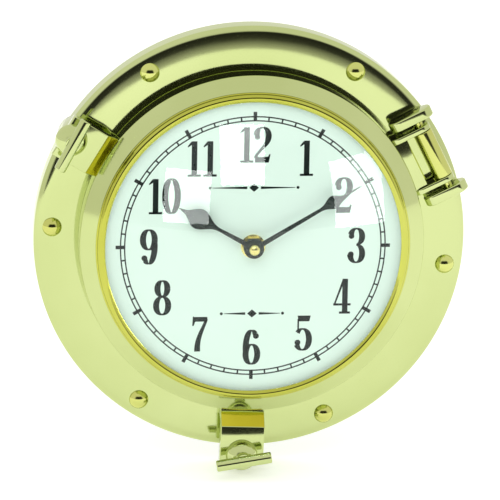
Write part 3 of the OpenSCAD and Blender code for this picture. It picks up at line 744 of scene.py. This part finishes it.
@dataclass
class Door:
    """The hinged ring with its lugs and bracket, the bead, the domed glass and the hinge barrel."""

    places: Places
    shop: Workshop
    outer_r: float = 92.3
    bottom_h: float = 14.3
    shoulder_h: float = 26.2
    roll: float = 1.2
    front: tuple[float, float] = (84.2, 31.7)
    bore_r: float = 83.25
    wall: float = 3.0
    lug_w: float = 23.6
    screw_u: float = 116.5
    lug_out: float = 121.5
    lug_in: float = 90.3
    valley: float = 94.0
    lug_h: tuple[float, float] = (22.0, 29.0)
    bracket_w: float = 33.6
    cheek_t: float = 3.0
    cheek_offset: float = 15.3
    cheek_r: float = 5.0
    bead_in_r: float = 79.2
    bead_h: float = 34.5
    bead_seat_r: float = 81.95
    bead_lip_h: float = 33.2
    bead_back_h: float = 30.4
    bead_step: float = 0.9
    bead_roll: float = 1.9
    dome_r: float = 165.0
    dome_mouth_r: float = 78.3
    glass_t: float = 2.0
    glass_r: float = 81.85
    glass_back: float = 31.4
    glass_top: float = 33.15
    barrel_r: float = 5.0
    barrel_bore_r: float = 2.05
    barrel_len: float = 27.0
    slope_lean: float = 0.6

    def ring(self) -> Part:
        """The door's wall and sloping front turned as one hollow section.

        Returns:
            Vertices and faces.
        """
        edge = arc((self.outer_r - self.roll, self.shoulder_h), self.roll, 0, 60, 6)
        inner = self.outer_r - self.wall
        front_r, front_h = self.front
        slant = 0.58 * (inner - self.bore_r)
        profile = np.vstack([
            [[inner, self.bottom_h], [self.outer_r - 0.3, self.bottom_h],
             [self.outer_r, self.bottom_h + 0.3]],
            edge,
            [[front_r + 0.25, front_h - 0.15], [front_r, front_h], [self.bore_r, front_h],
             [self.bore_r, front_h - 2], [inner, front_h - 2 - slant]]])
        return lathe(profile, 256, ring=True)

    def lug(self, screw_u: float, angle: float) -> Part:
        """A lug: foot, valley, slope and flat top across its width, with rounded side edges.

        Args:
            screw_u: distance of the dog's screw from the dial's centre.
            angle: the dog's angle in degrees.

        Returns:
            Vertices and faces.
        """
        out = screw_u - self.screw_u
        low, high = self.lug_h
        rise = self.valley + high - low
        outline = np.vstack([
            [[self.lug_in, 15.0], [97.5, 15.0], [99.5, low]],
            arc((self.lug_out - 0.6, low + 0.6), 0.6, -90, 0, 3),
            arc((self.lug_out - 0.8, high - 0.8), 0.8, 0, 90, 4),
            [[rise + 0.3, high], [rise - 0.3, high - 0.25], [self.valley + 0.4, low + 0.3],
             [self.valley - 0.5, low], [self.lug_in, low]]])
        outline[:, 0] = np.maximum(outline[:, 0] + out, self.lug_in)
        half = self.lug_w / 2
        return moved(moved(bevelled_prism(outline, -half, half, 0.45, 3), stand_side), turn(angle))

    def bracket(self, angle: float) -> list[Part]:
        """The hinge bracket: a block on the ring and two round-ended cheeks.

        Args:
            angle: the hinge's angle in degrees.

        Returns:
            The block and its two cheeks.
        """
        hinge_u = self.places.polar("door_hinge")[0]
        height = self.places.height("door_hinge")
        half = self.bracket_w / 2
        block = np.array([[90.0, 15.2], [98.3, 15.2], [98.5, 15.4], [98.5, 24.4], [97.9, 25.0], [90.0, 25.0]])
        made = [bevelled_prism(block, -half, half, 0.4, 2)]
        for side in (-1, 1):
            low = side * self.cheek_offset - self.cheek_t / 2
            outline = slot_outline(89.5, hinge_u + self.cheek_r, height, self.cheek_r)
            made.append(bevelled_prism(outline, low, low + self.cheek_t, 0.5, 3))
        return [moved(moved(p, stand_side), turn(angle)) for p in made]

    def bead(self) -> Part:
        """The bead: a low round step, a round crest and a lip over the glass.

        Returns:
            Vertices and faces.
        """
        out, foot = self.front
        step, crest = self.bead_step, self.bead_roll
        profile = np.vstack([
            [[self.bore_r - 0.1, foot]],
            arc((out - step, foot), step, 0, 84, 8),
            arc((out - step - crest, self.bead_h - crest), crest, 6, 125, 14),
            [[self.bead_in_r + 0.25, 33.72], [self.bead_in_r, 33.5], [self.bead_in_r, self.bead_lip_h],
             [self.bead_seat_r, self.bead_lip_h], [self.bead_seat_r, self.bead_back_h],
             [self.bore_r - 0.1, self.bead_back_h]]])
        return lathe(profile, 256, ring=True)

    def glass(self) -> Part:
        """The glass: concentric spherical faces over a flat rim.

        Returns:
            Vertices and faces.
        """
        centre = self.glass_back - math.sqrt(self.dome_r ** 2 - self.dome_mouth_r ** 2)
        outer = self.dome_r + self.glass_t
        mouth = self.bead_in_r - 0.1
        inner_end = 90 - math.degrees(math.asin(self.dome_mouth_r / self.dome_r))
        outer_end = 90 - math.degrees(math.asin(mouth / outer))
        rim = [[self.glass_r, self.glass_back], [self.glass_r, self.glass_top], [mouth, self.glass_top]]
        profile = np.vstack([arc((0, centre), self.dome_r, 90, inner_end, 40), rim,
                             arc((0, centre), outer, outer_end, 90, 40)])
        return lathe(profile, 192)

    def barrel(self) -> Part:
        """The hinge barrel, with its two ends rounded off.

        Returns:
            Vertices and faces, turned about z.
        """
        r, half = self.barrel_r, self.barrel_len / 2
        profile = np.vstack([[[self.barrel_bore_r, -half]], arc((r - 0.5, -half + 0.5), 0.5, -90, 0, 4),
                             arc((r - 0.5, half - 0.5), 0.5, 0, 90, 4), [[self.barrel_bore_r, half]]])
        return lathe(profile, 64, ring=True)

    def gild(self, piece: bpy.types.Object) -> None:
        """Paints a reflection on the lugs' slopes: a deeper gold brass that stands in for the neighbouring
        brass they mirror, on faces whose normal leans in and out by equal parts.

        With n the face's normal and c its centre in the dial's plane, a slope has both -n.y and
        -(n . c) / |c| above the lean.

        Args:
            piece: the lugs.
        """
        mesh = piece.data
        mesh.materials.append(self.shop.get(Finish.SLOPE))
        count = len(mesh.polygons)
        normal, centre = np.empty(count * 3), np.empty(count * 3)
        mesh.polygons.foreach_get("normal", normal)
        mesh.polygons.foreach_get("center", centre)
        n, c = normal.reshape(-1, 3), centre.reshape(-1, 3)
        inward = -(n[:, 0] * c[:, 0] + n[:, 2] * c[:, 2]) / np.hypot(c[:, 0], c[:, 2])
        slope = (n[:, 1] < -self.slope_lean) & (inward > self.slope_lean)
        # painted reflection: the slope faces take the deeper gold material
        mesh.polygons.foreach_set("material_index", slope.astype(np.int32))

    def build(self) -> bpy.types.Object:
        """Makes the door's pieces and returns the glass.

        Returns:
            The glass, which the soft boxes need.
        """
        hinge_u, hinge_angle = self.places.polar("door_hinge")
        height = self.places.height("door_hinge")
        lugs = [self.lug(*self.places.polar(j)) for j in ("dog_left_turn", "dog_bottom_turn")]
        make_piece("door_casting", joined([self.ring(), *self.bracket(hinge_angle)]),
                   self.shop.get(Finish.POLISHED), "door",
                   ("door_ring", "door_front", "hinge_bracket"))
        piece = make_piece("dog_lugs", joined(lugs), self.shop.get(Finish.POLISHED), "door",
                           ("door_lugs",))
        # paints the reflection of the neighbouring brass on the lugs' slopes
        self.gild(piece)
        make_piece("bead_ring", self.bead(), self.shop.get(Finish.BEAD), "door",
                   ("bezel_bead",))
        pane = make_piece("glass_dome", self.glass(), self.shop.get(Finish.GLASS), "door",
                          ("glass",))
        pane.visible_shadow = False
        pane.visible_diffuse = False
        barrel = moved(moved(self.barrel(), lay_flat), shift(hinge_u, 0, height))
        make_piece("barrel_sleeve", moved(barrel, turn(hinge_angle)), self.shop.get(Finish.RIVET), "door",
                   ("hinge_barrel",))
        return pane


@dataclass
class Dog:
    """One screw dog: a domed cup washer and a screw with a cross-bar."""

    places: Places
    shop: Workshop
    side: str
    bar_turn: float
    cup_r: float = 8.6
    cup_h: float = 7.4
    seat_h: float = 29.3
    neck_r: float = 3.9
    bar_h: float = 42.0
    bar_r: float = 3.1
    bar_len: float = 30.0
    bore_r: float = 3.05
    shaft_r: float = 3.0
    tip_r: float = 2.2
    tip_h: float = 17.0

    def cup(self) -> Part:
        """A cap of a sphere with a flat underside and a bore.

        Returns:
            Vertices and faces.
        """
        sphere_r = (self.cup_r ** 2 + self.cup_h ** 2) / (2 * self.cup_h)
        low = math.degrees(math.asin((sphere_r - self.cup_h) / sphere_r))
        cap = arc((0, self.cup_h - sphere_r), sphere_r, low, 71.5, 20)
        profile = np.vstack([[[self.bore_r, 0.0], [self.cup_r - 0.3, 0.0]], cap, [[self.bore_r, cap[-1, 1]]]])
        return lathe(profile, 72, ring=True)

    def screw(self) -> list[Part]:
        """Shaft, waisted neck and round cross-bar.

        Returns:
            The screw and its cross-bar.
        """
        top = self.seat_h + self.cup_h + 0.1
        t = np.linspace(0, 1, 12)
        neck = np.column_stack([self.neck_r - 0.55 * np.sin(math.pi * t), top + t * (self.bar_h - top)])
        shaft = np.vstack([[[0, self.tip_h], [self.tip_r, self.tip_h], [self.shaft_r, self.tip_h + 0.8],
                            [self.shaft_r, top - 0.01]], neck, [[0, self.bar_h]]])
        half = self.bar_len / 2
        bar = np.vstack([[[0, -half]], arc((self.bar_r - 0.8, -half + 0.8), 0.8, -90, 0, 5),
                         arc((self.bar_r - 0.8, half - 0.8), 0.8, 0, 90, 5), [[0, half]]])
        handle = moved(moved(lathe(bar, 48), lay_flat), shift(0, 0, self.bar_h))
        return [lathe(shaft, 48), moved(handle, turn(self.bar_turn))]

    def build(self) -> None:
        """Makes the dog's two pieces."""
        u, angle = self.places.polar(f"dog_{self.side}_turn")
        cup = moved(self.cup(), shift(u, 0, self.seat_h))
        handle = moved(joined(self.screw()), shift(u))
        brass = self.shop.get(Finish.POLISHED)
        dog = f"dog_{self.side}"
        make_piece(f"{dog}_washer", moved(cup, turn(angle)), brass, f"{dog}_lift",
                   (f"{dog}_cup",))
        make_piece(f"{dog}_handle", moved(handle, turn(angle)), brass, f"{dog}_turn",
                   (f"{dog}_screw", f"{dog}_bar"))


# ---------------------------------------------------------------- dial printing

@dataclass
class Pen:
    """A broad pen: a stroke is thick where it runs upright and thin where it runs level."""

    thick: float = 3.3
    thin: float = 0.9

    def stroke(self, points: np.ndarray, taper: tuple[float, float] = (1.0, 1.0)) -> np.ndarray:
        """The outline that the pen leaves along a path.

        Half width is thin + (thick - thin) times the square of the tangent's upright share.

        Args:
            points: (n, 2) path.
            taper: share of the width kept at the first and the last point.

        Returns:
            (2n, 2) outline.
        """
        tangent = np.gradient(points, axis=0)
        tangent /= np.linalg.norm(tangent, axis=1, keepdims=True)
        width = self.thin + (self.thick - self.thin) * tangent[:, 1] ** 2
        width *= np.linspace(taper[0], taper[1], len(points))
        side = np.column_stack([-tangent[:, 1], tangent[:, 0]]) * width[:, None] / 2
        return np.vstack([points + side, (points - side)[::-1]])


def ellipse(cx: float, cy: float, rx: float, ry: float, start: float, end: float, steps: int = 28
            ) -> np.ndarray:
    """Points of an ellipse's arc from one parameter angle to another."""
    a = np.radians(np.linspace(start, end, steps + 1))
    return np.column_stack([cx + rx * np.cos(a), cy + ry * np.sin(a)])


def curve(*points: tuple[float, float], steps: int = 24) -> np.ndarray:
    """A Bezier curve of any degree, by repeated linear blending of its control points.

    Args:
        points: control points.
        steps: number of steps.

    Returns:
        (steps + 1, 2) points.
    """
    t = np.linspace(0, 1, steps + 1)[:, None]
    level = [np.repeat(np.array([p], float), steps + 1, axis=0) for p in points]
    while len(level) > 1:
        level = [(1 - t) * a + t * b for a, b in zip(level, level[1:])]
    return level[0]


def block(x0: float, y0: float, x1: float, y1: float) -> np.ndarray:
    """The outline of an upright rectangle."""
    return np.array([[x0, y0], [x1, y0], [x1, y1], [x0, y1]], float)


def ball(cx: float, cy: float, r: float) -> np.ndarray:
    """The outline of a ball terminal."""
    return ellipse(cx, cy, r, r, 0, 345, 23)


@dataclass
class Numerals:
    """Narrow upright figures with thick stems, thin joins, slab feet and ball ends, 20 units tall."""

    pen: Pen

    def figure(self, digit: str) -> list[np.ndarray]:
        """Outlines of a digit, centred on x = 0 between y = 0 and y = 20.

        Args:
            digit: one of 0 to 9.

        Returns:
            Its outlines.
        """
        p = self.pen.stroke
        heavy = Pen(3.3, 0.9)
        made = {
            "0": [heavy.stroke(ellipse(0, 10, 3.4, 9.4, 0, 360, 60))],
            "1": [block(-1.5, 0.5, 1.5, 19.6), block(-3.6, 0, 3.6, 1.2),
                          np.array([[-1.6, 19.6], [-3.7, 16.9], [-3.5, 16.2], [-1.4, 17.6]])],
            "2": [p(ellipse(-0.2, 14.8, 3.3, 4.6, 175, -20)), ball(-2.9, 14.2, 1.5),
                          p(curve((2.95, 13.4), (2.4, 9.0), (-2.6, 6.8), (-4.0, 2.4)), (1.0, 0.55)),
                          np.array([[-4.2, 0], [3.4, 0], [4.3, 4.6], [3.6, 4.6], [2.9, 3.2], [-3.9, 3.2]])],
            "3": [p(ellipse(-0.3, 15.0, 3.1, 4.4, 165, -85)), ball(-3.0, 15.2, 1.5),
                          p(ellipse(-0.3, 5.4, 3.3, 4.9, 90, -175)), ball(-3.2, 5.0, 1.6)],
            "4": [block(0.2, 0.6, 3.2, 19.6), block(-1.4, 0, 4.6, 1.2), block(-4.6, 4.6, 4.9, 5.8),
                          np.array([[-4.6, 4.7], [-3.5, 5.2], [1.7, 19.6], [0.4, 19.6]])],
            "5": [np.array([[-3.3, 19.8], [-2.6, 16.6], [3.2, 16.6], [3.9, 19.8]]), block(-3.3, 10, -2.4, 18),
                          p(ellipse(-0.4, 6.4, 3.6, 5.9, 140, -150)), ball(-3.1, 4.6, 1.6)],
            "6": [heavy.stroke(ellipse(0.1, 5.9, 3.2, 5.4, 0, 360, 48)),
                          heavy.stroke(ellipse(0.1, 9.6, 3.2, 9.6, 190, 55, 28)), ball(2.4, 16.2, 1.6)],
            "7": [np.array([[-3.9, 20], [-4.2, 14.6], [-3.4, 14.6], [-2.6, 17.0], [4.0, 17.0], [4.0, 19.6],
                                    [-3.0, 19.6]]),
                          p(curve((3.6, 18.4), (1.4, 12.0), (-1.6, 8.0), (-1.3, 0.2)), (0.5, 1.0))],
            "8": [heavy.stroke(ellipse(0, 15.0, 2.7, 4.3, 0, 360, 40)),
                          heavy.stroke(ellipse(0, 5.4, 3.3, 4.9, 0, 360, 48))],
            "9": [heavy.stroke(ellipse(-0.1, 14.1, 3.2, 5.4, 0, 360, 48)),
                          heavy.stroke(ellipse(-0.1, 10.4, 3.2, 9.6, 10, -125, 28)), ball(-2.4, 3.8, 1.6)],
        }
        return made[digit]

    def number(self, text: str, spacing: float) -> list[np.ndarray]:
        """Outlines of a number, its figures side by side.

        Args:
            text: the number.
            spacing: distance between its figures' centres.

        Returns:
            Its outlines, centred on the origin.
        """
        made = []
        for k, digit in enumerate(text):
            x = (k - (len(text) - 1) / 2) * spacing
            made += [o + np.array([x, -10.0]) for o in self.figure(digit)]
        return made


@dataclass
class DialPrint:
    """The printed dial: plate, railway minute track, hour figures and two plain ornaments."""

    places: Places
    shop: Workshop
    track: tuple[float, float] = (68.4, 70.6)
    line: float = 0.7
    figure_r: float = 55.5
    bore_r: float = 4.05
    ink_t: float = 0.05

    def layer(self, outlines: list[np.ndarray], high: float) -> Part:
        """Ink films: each outline raised by the film's thickness.

        Args:
            outlines: closed outlines.
            high: the film's upper face.

        Returns:
            All films as one part.
        """
        made = []
        for o in outlines:
            area = float(np.sum(o[:, 0] * np.roll(o[:, 1], -1) - np.roll(o[:, 0], -1) * o[:, 1]))
            flat = o if area > 0 else o[::-1]
            n = len(flat)
            low = np.column_stack([flat, np.full(n, high - self.ink_t)])
            top = np.column_stack([flat, np.full(n, high)])
            if n > 8 and n % 2 == 0:
                made.append(self.strip(low, top))
            else:
                made.append(loft([low, top]))
        return joined(made)

    def strip(self, low: np.ndarray, top: np.ndarray) -> Part:
        """A film from a stroke's outline, faced by quads across the stroke.

        Args:
            low: the stroke's outline on the lower face.
            top: the same on the upper face.

        Returns:
            Vertices and faces.
        """
        n = len(low)
        half = n // 2
        verts = np.vstack([low, top])
        k = np.arange(half - 1)
        caps = np.column_stack([k, k + 1, n - 2 - k, n - 1 - k])
        ring = np.arange(n)
        sides = np.column_stack([ring, (ring + 1) % n, (ring + 1) % n + n, ring + n])
        return verts, caps[:, ::-1].tolist() + (caps + n).tolist() + sides.tolist()

    def circle(self, r: float) -> list[np.ndarray]:
        """A printed circle: a stroke round its whole length in quarters.

        Args:
            r: its radius.

        Returns:
            The outlines of four quarters.
        """
        made = []
        for q in range(4):
            a = np.linspace(q * 90, q * 90 + 90, 61)
            path = np.column_stack([r * np.cos(np.radians(a)), r * np.sin(np.radians(a))])
            made.append(Pen(self.line, self.line).stroke(path))
        return made

    def minute_track(self) -> list[np.ndarray]:
        """Two circles joined by sixty bars, with a bold tick outwards at each hour.

        Returns:
            Outlines of the circles, bars and ticks.
        """
        made = self.circle(self.track[0]) + self.circle(self.track[1])
        for minute in range(60):
            a = math.radians(minute * 6)
            bold = minute % 5 == 0
            w = 0.95 if bold else 0.42
            r0, r1 = self.track[0], self.track[1] + (2.6 if bold else 0)
            bar = block(-w, r0, w, r1)
            c, s = math.cos(a), math.sin(a)
            made.append(np.column_stack([c * bar[:, 0] + s * bar[:, 1], -s * bar[:, 0] + c * bar[:, 1]]))
        return made

    def ornament(self, y: float, half: float) -> list[np.ndarray]:
        """A plain rule: a lozenge between two tapering lines, each ended by a dot.

        Args:
            y: its height on the dial.
            half: half its length.

        Returns:
            Its outlines.
        """
        made = [np.array([[-2.6, y], [0, y - 2.2], [2.6, y], [0, y + 2.2]])]
        for side in (-1, 1):
            line = np.array([[3.6, y - 0.7], [half, y - 0.15], [half, y + 0.15], [3.6, y + 0.7]])
            made.append(line * np.array([side, 1]))
            made.append(ball(side * (half + 1.4), y, 0.8))
        return made

    def build(self) -> None:
        """Makes the plate and its printing."""
        low, high = self.places.span("dial")
        r = self.places.radius("dial")
        plate = np.array([[self.bore_r, low], [r - 0.1, low], [r, low + 0.1], [r, high - 0.1],
                          [r - 0.1, high], [self.bore_r, high]])
        make_piece("dial_plate", lathe(plate, 192, ring=True), self.shop.get(Finish.DIAL), "case",
                   ("dial",))
        outlines = self.minute_track()
        figures = Numerals(Pen())
        for hour in range(1, 13):
            a = math.radians(hour * 30)
            x, y = self.figure_r * math.sin(a), self.figure_r * math.cos(a)
            outlines += [o * 0.98 + np.array([x, y]) for o in figures.number(str(hour), 8.6)]
        outlines += self.ornament(32.0, 22.0) + self.ornament(-37.0, 15.0)
        make_piece("dial_printing", self.layer(outlines, high + self.ink_t), self.shop.get(Finish.INK),
                   "case")


@dataclass(frozen=True)
class Blade:
    """A hand's sizes: place and radius of its spade, its length, and its angle clockwise from 12."""

    name: str
    spade_y: float
    spade_r: float
    tip: float
    angle: float


@dataclass
class Hands:
    """Spade hands with round hubs, and the cap nut over them."""

    places: Places
    shop: Workshop
    thickness: float = 0.5
    stem: tuple[float, float] = (2.6, 1.8)
    collet_r: float = 3.9
    blades: tuple[Blade, ...] = (Blade("hour", 33.5, 5.6, 46.0, 299.0),
                                 Blade("minute", 49.0, 3.6, 66.0, 59.0))

    def outline(self, blade: Blade) -> np.ndarray:
        """A hand pointing to +y: hub, tapering stem, round spade and long point.

        Args:
            blade: the hand's sizes.

        Returns:
            (n, 2) points.
        """
        spade_y, spade_r, tip, stem = blade.spade_y, blade.spade_r, blade.tip, self.stem
        hub = arc((0, 0), 5.35, -255, 75, 40)
        neck = spade_y - 2.2 * spade_r
        flare = curve((stem[1] / 2 + 0.1, neck + 0.6), (stem[1] / 2 + 0.3, spade_y - 1.3 * spade_r),
                      (spade_r * 0.7, spade_y - spade_r), (spade_r * 0.906, spade_y - 0.42 * spade_r),
                      steps=8)
        shoulder = curve((spade_r * 0.90, spade_y + 0.45 * spade_r), (0.62 * spade_r, spade_y + spade_r),
                         (0.9, spade_y + 1.2 * spade_r), (0.8, spade_y + 1.75 * spade_r), steps=8)
        right = np.vstack([[[stem[0] / 2, 6.5], [stem[1] / 2, neck]], flare,
                           arc((0, spade_y), spade_r, -20, 22, 8), shoulder, [[0.22, tip - 0.2]]])
        left = right[::-1] * np.array([-1, 1])
        return np.vstack([hub, right, [[0, tip]], left])

    def build(self) -> None:
        """Makes the two hands and the cap nut."""
        black = self.shop.get(Finish.ENAMEL)
        for blade in self.blades:
            low, high = self.places.span(f"{blade.name}_hand")
            base = high - self.thickness
            plate = bevelled_prism(self.outline(blade), base, high, 0.12, 2)
            r, top = self.collet_r, base + 0.1
            collet = lathe(np.array([[0, low], [r - 0.3, low], [r, low + 0.2], [r, top], [0, top]]), 48)
            part = joined([moved(plate, turn(-blade.angle)), collet])
            make_piece(f"{blade.name}_spade_hand", part, black, blade.name,
                       (f"{blade.name}_hand",))
        low, high = self.places.span("minute_cap_nut")
        r = self.places.radius("minute_cap_nut")
        profile = np.vstack([[[0, low], [r - 0.15, low], [r, low + 0.15], [r, high - 1.6]],
                             ellipse(0, high - 1.6, r, 1.6, 8, 90, 12)])
        make_piece("cap_nut", lathe(profile, 48), self.shop.get(Finish.TURNED), "minute",
                   ("minute_cap_nut",))


# ---------------------------------------------------------------- carried-over pieces

CARRIED: dict[Finish, tuple[str, ...]] = {
    Finish.RIVET: ("hinge_pin",),
    Finish.BLACK_PLATE: ("back_plate",),
    Finish.ZINC: ("back_plate_screws", "hanger", "hanger_screws", "stator", "contact_plus",
                  "contact_minus", "rotor"),
    Finish.TURNED: ("dial_nut", "dial_washer", "shaft_bush", "glass_retainer", "cannon_pinion"),
    Finish.RUBBER: ("dial_gasket", "glass_gasket"),
    Finish.PLASTIC: ("movement_case", "movement_cover", "setting_knob"),
    Finish.NYLON: ("movement_bridge", "hour_wheel", "motion_wheel", "seconds_wheel", "intermediate_wheel",
                   "third_wheel", "centre_wheel"),
    Finish.COIL: ("coil",),
    Finish.BOARD: ("circuit_board",),
    Finish.CELL: ("battery",),
    Finish.POLISHED: ("hanger_posts",),
}


def dress_carried(nodes: dict[str, bpy.types.Object], shop: Workshop) -> None:
    """Gives each CAD piece that stays its finish.

    Args:
        nodes: the frame's CAD objects by name.
        shop: the finishes.
    """
    for finish, names in CARRIED.items():
        for name in names:
            nodes[name].data.materials.clear()
            nodes[name].data.materials.append(shop.get(finish))
            LOG.info("dressed %s", name)


# ---------------------------------------------------------------- studio

@dataclass
class Studio:
    """Pale floor, soft lights, surroundings for the polish to mirror, and the camera."""

    azimuth: float = -6.0
    elevation: float = 14.5
    roll: float = 1.0
    distance: float = 2.6
    frame_width: float = 0.268
    aim_drop: float = 0.0061

    def floor(self) -> None:
        """A wide white floor just under the object."""
        low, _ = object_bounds()
        mesh = bpy.data.meshes.new("floor")
        size, front, z = 6.0, -1.5, low.z - 0.002
        corners = [(-size, front, z), (size, front, z), (size, size, z), (-size, size, z)]
        mesh.from_pydata(corners, [], [(0, 1, 2, 3)])
        n = Nodes("floor_white")
        n.set(Base_Color=(0.93, 0.94, 0.92, 1), Roughness=0.9)
        n.set(Emission_Color=(1, 1, 0.99, 1), Emission_Strength=0.35)
        mesh.materials.append(n.material)
        floor = bpy.data.objects.new("floor", mesh)
        bpy.context.scene.collection.objects.link(floor)
        floor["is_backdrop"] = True

    def lamp(self, name: str, place: tuple[float, float, float], aim: tuple[float, float, float],
             size: tuple[float, float], power: float) -> bpy.types.Object:
        """A rectangular lamp at a place, facing a point.

        Args:
            name: the lamp's name.
            place: where it stands, in metres.
            aim: the point that it faces.
            size: width and height.
            power: watts.

        Returns:
            The lamp.
        """
        data = bpy.data.lights.new(name, "AREA")
        data.shape = "RECTANGLE"
        data.size, data.size_y = size
        data.energy = power
        data.color = (0.93, 1.0, 0.965)
        lamp = bpy.data.objects.new(name, data)
        bpy.context.scene.collection.objects.link(lamp)
        lamp.location = place
        away = np.array(place) - np.array(aim)
        away /= np.linalg.norm(away)
        lamp.rotation_euler = Vector(away).to_track_quat("Z", "Y").to_euler()
        return lamp

    def softbox(self, name: str, place: tuple[float, float, float], size: tuple[float, float], power: float,
                pane: bpy.types.Object) -> None:
        """A lamp that only the glass mirrors.

        Args:
            name: the lamp's name.
            place: where it stands, in metres.
            size: width and height.
            power: watts.
            pane: the glass that mirrors it.
        """
        lamp = self.lamp(name, place, (0, -0.04, 0), size, power)
        lamp.visible_diffuse = False
        lamp.visible_transmission = False
        only = bpy.data.collections.new(name)
        only.objects.link(pane)
        lamp.light_linking.receiver_collection = only

    def toward(self, azimuth: float, elevation: float, distance: float) -> tuple[float, float, float]:
        """A place in front of the dial, by azimuth to the right, elevation and distance.

        Args:
            azimuth: degrees to the right of the dial.
            elevation: degrees above it.
            distance: metres.

        Returns:
            The place, in metres.
        """
        a, e = math.radians(azimuth), math.radians(elevation)
        return (distance * math.sin(a) * math.cos(e), -distance * math.cos(a) * math.cos(e),
                distance * math.sin(e))

    def surroundings(self) -> None:
        """A white room with a dark band in front for the brass to mirror; the camera sees plain white."""
        world = bpy.data.worlds.new("studio")
        bpy.context.scene.world = world
        world.use_nodes = True
        tree = world.node_tree
        tree.nodes.clear()
        add, link = tree.nodes.new, tree.links.new
        out, mix = add("ShaderNodeOutputWorld"), add("ShaderNodeMixShader")
        seen, room = add("ShaderNodeBackground"), add("ShaderNodeBackground")
        path, place = add("ShaderNodeLightPath"), add("ShaderNodeTexCoord")
        split, ramp = add("ShaderNodeSeparateXYZ"), add("ShaderNodeValToRGB")
        seen.inputs["Color"].default_value = (1, 1, 1, 1)
        height = add("ShaderNodeMapRange")
        height.inputs["From Min"].default_value = -1.0
        link(place.outputs["Generated"], split.inputs[0])
        link(split.outputs["Z"], height.inputs["Value"])
        link(height.outputs["Result"], ramp.inputs["Fac"])
        stops = [(0.0, 0.9), (0.40, 1.0), (0.44, 0.5), (0.47, 0.05), (0.66, 0.025), (0.71, 0.06), (0.76, 0.9),
                 (1.0, 1.0)]
        band = ramp.color_ramp.elements
        while len(band) < len(stops):
            band.new(0.5)
        for element, (position, grey) in zip(band, stops):
            element.position = position
            element.color = (grey, grey, grey * 0.97, 1)
        front, blend = add("ShaderNodeMapRange"), add("ShaderNodeMix")
        front.inputs["From Min"].default_value = -0.70
        front.inputs["From Max"].default_value = -0.84
        blend.data_type = "RGBA"
        blend.inputs[6].default_value = (1, 1, 0.97, 1)
        link(split.outputs["Y"], front.inputs["Value"])
        link(front.outputs["Result"], blend.inputs[0])
        link(ramp.outputs["Color"], blend.inputs[7])
        link(blend.outputs[2], room.inputs["Color"])
        room.inputs["Strength"].default_value = 0.95
        link(path.outputs["Is Camera Ray"], mix.inputs["Fac"])
        link(room.outputs[0], mix.inputs[1])
        link(seen.outputs[0], mix.inputs[2])
        link(mix.outputs[0], out.inputs["Surface"])

    def camera(self) -> None:
        """A long lens from slightly left and above."""
        a, e = math.radians(self.azimuth), math.radians(self.elevation)
        back = Vector((math.sin(a) * math.cos(e), -math.cos(a) * math.cos(e), math.sin(e)))
        data = bpy.data.cameras.new("camera")
        camera = bpy.data.objects.new("camera", data)
        bpy.context.scene.collection.objects.link(camera)
        data.sensor_width = 36.0
        data.lens = 36.0 * self.distance / self.frame_width
        data.clip_start, data.clip_end = 0.05, 50.0
        facing = (-back).to_track_quat("-Z", "Y").to_matrix()
        rotation = facing @ Matrix.Rotation(math.radians(self.roll), 3, "Z")
        up = rotation @ Vector((0, 1, 0))
        aim = Vector((0, -0.014, 0)) - up * self.aim_drop
        camera.rotation_euler = rotation.to_euler()
        camera.location = aim + back * self.distance
        bpy.context.scene.camera = camera

    def build(self, pane: bpy.types.Object) -> None:
        """Sets the whole studio, with three soft boxes that the glass alone mirrors.

        Args:
            pane: the glass.
        """
        self.floor()
        self.surroundings()
        self.camera()
        key = self.lamp("key", (-0.5, -2.2, 1.5), (0, 0, 0), (2.0, 2.0), 21.5)
        key.visible_glossy = False
        self.softbox("softbox_top", self.toward(0.0, 25.0, 1.5), (0.45, 0.62), 16.5, pane)
        self.softbox("softbox_left", self.toward(-21.5, 8.5, 1.5), (0.47, 0.54), 14.5, pane)
        self.softbox("softbox_right", self.toward(46.0, 6.5, 1.5), (0.55, 0.70), 21.5, pane)
        scene = bpy.context.scene
        scene.view_settings.view_transform = "Standard"
        scene.view_settings.look = "None"


def main() -> None:
    """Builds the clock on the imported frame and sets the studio."""
    logging.basicConfig(level=logging.INFO, format="%(name)s %(message)s")
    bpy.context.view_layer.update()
    places = Places({j["name"]: j for j in frame["joints"]})
    shop = Workshop()
    dress_carried(frame["nodes"], shop)
    Case(places, shop).build()
    pane = Door(places, shop).build()
    Dog(places, shop, "left", 3.0).build()
    Dog(places, shop, "bottom", 11.0).build()
    DialPrint(places, shop).build()
    Hands(places, shop).build()
    Studio().build(pane)


if __name__ == "__main__":
    main()
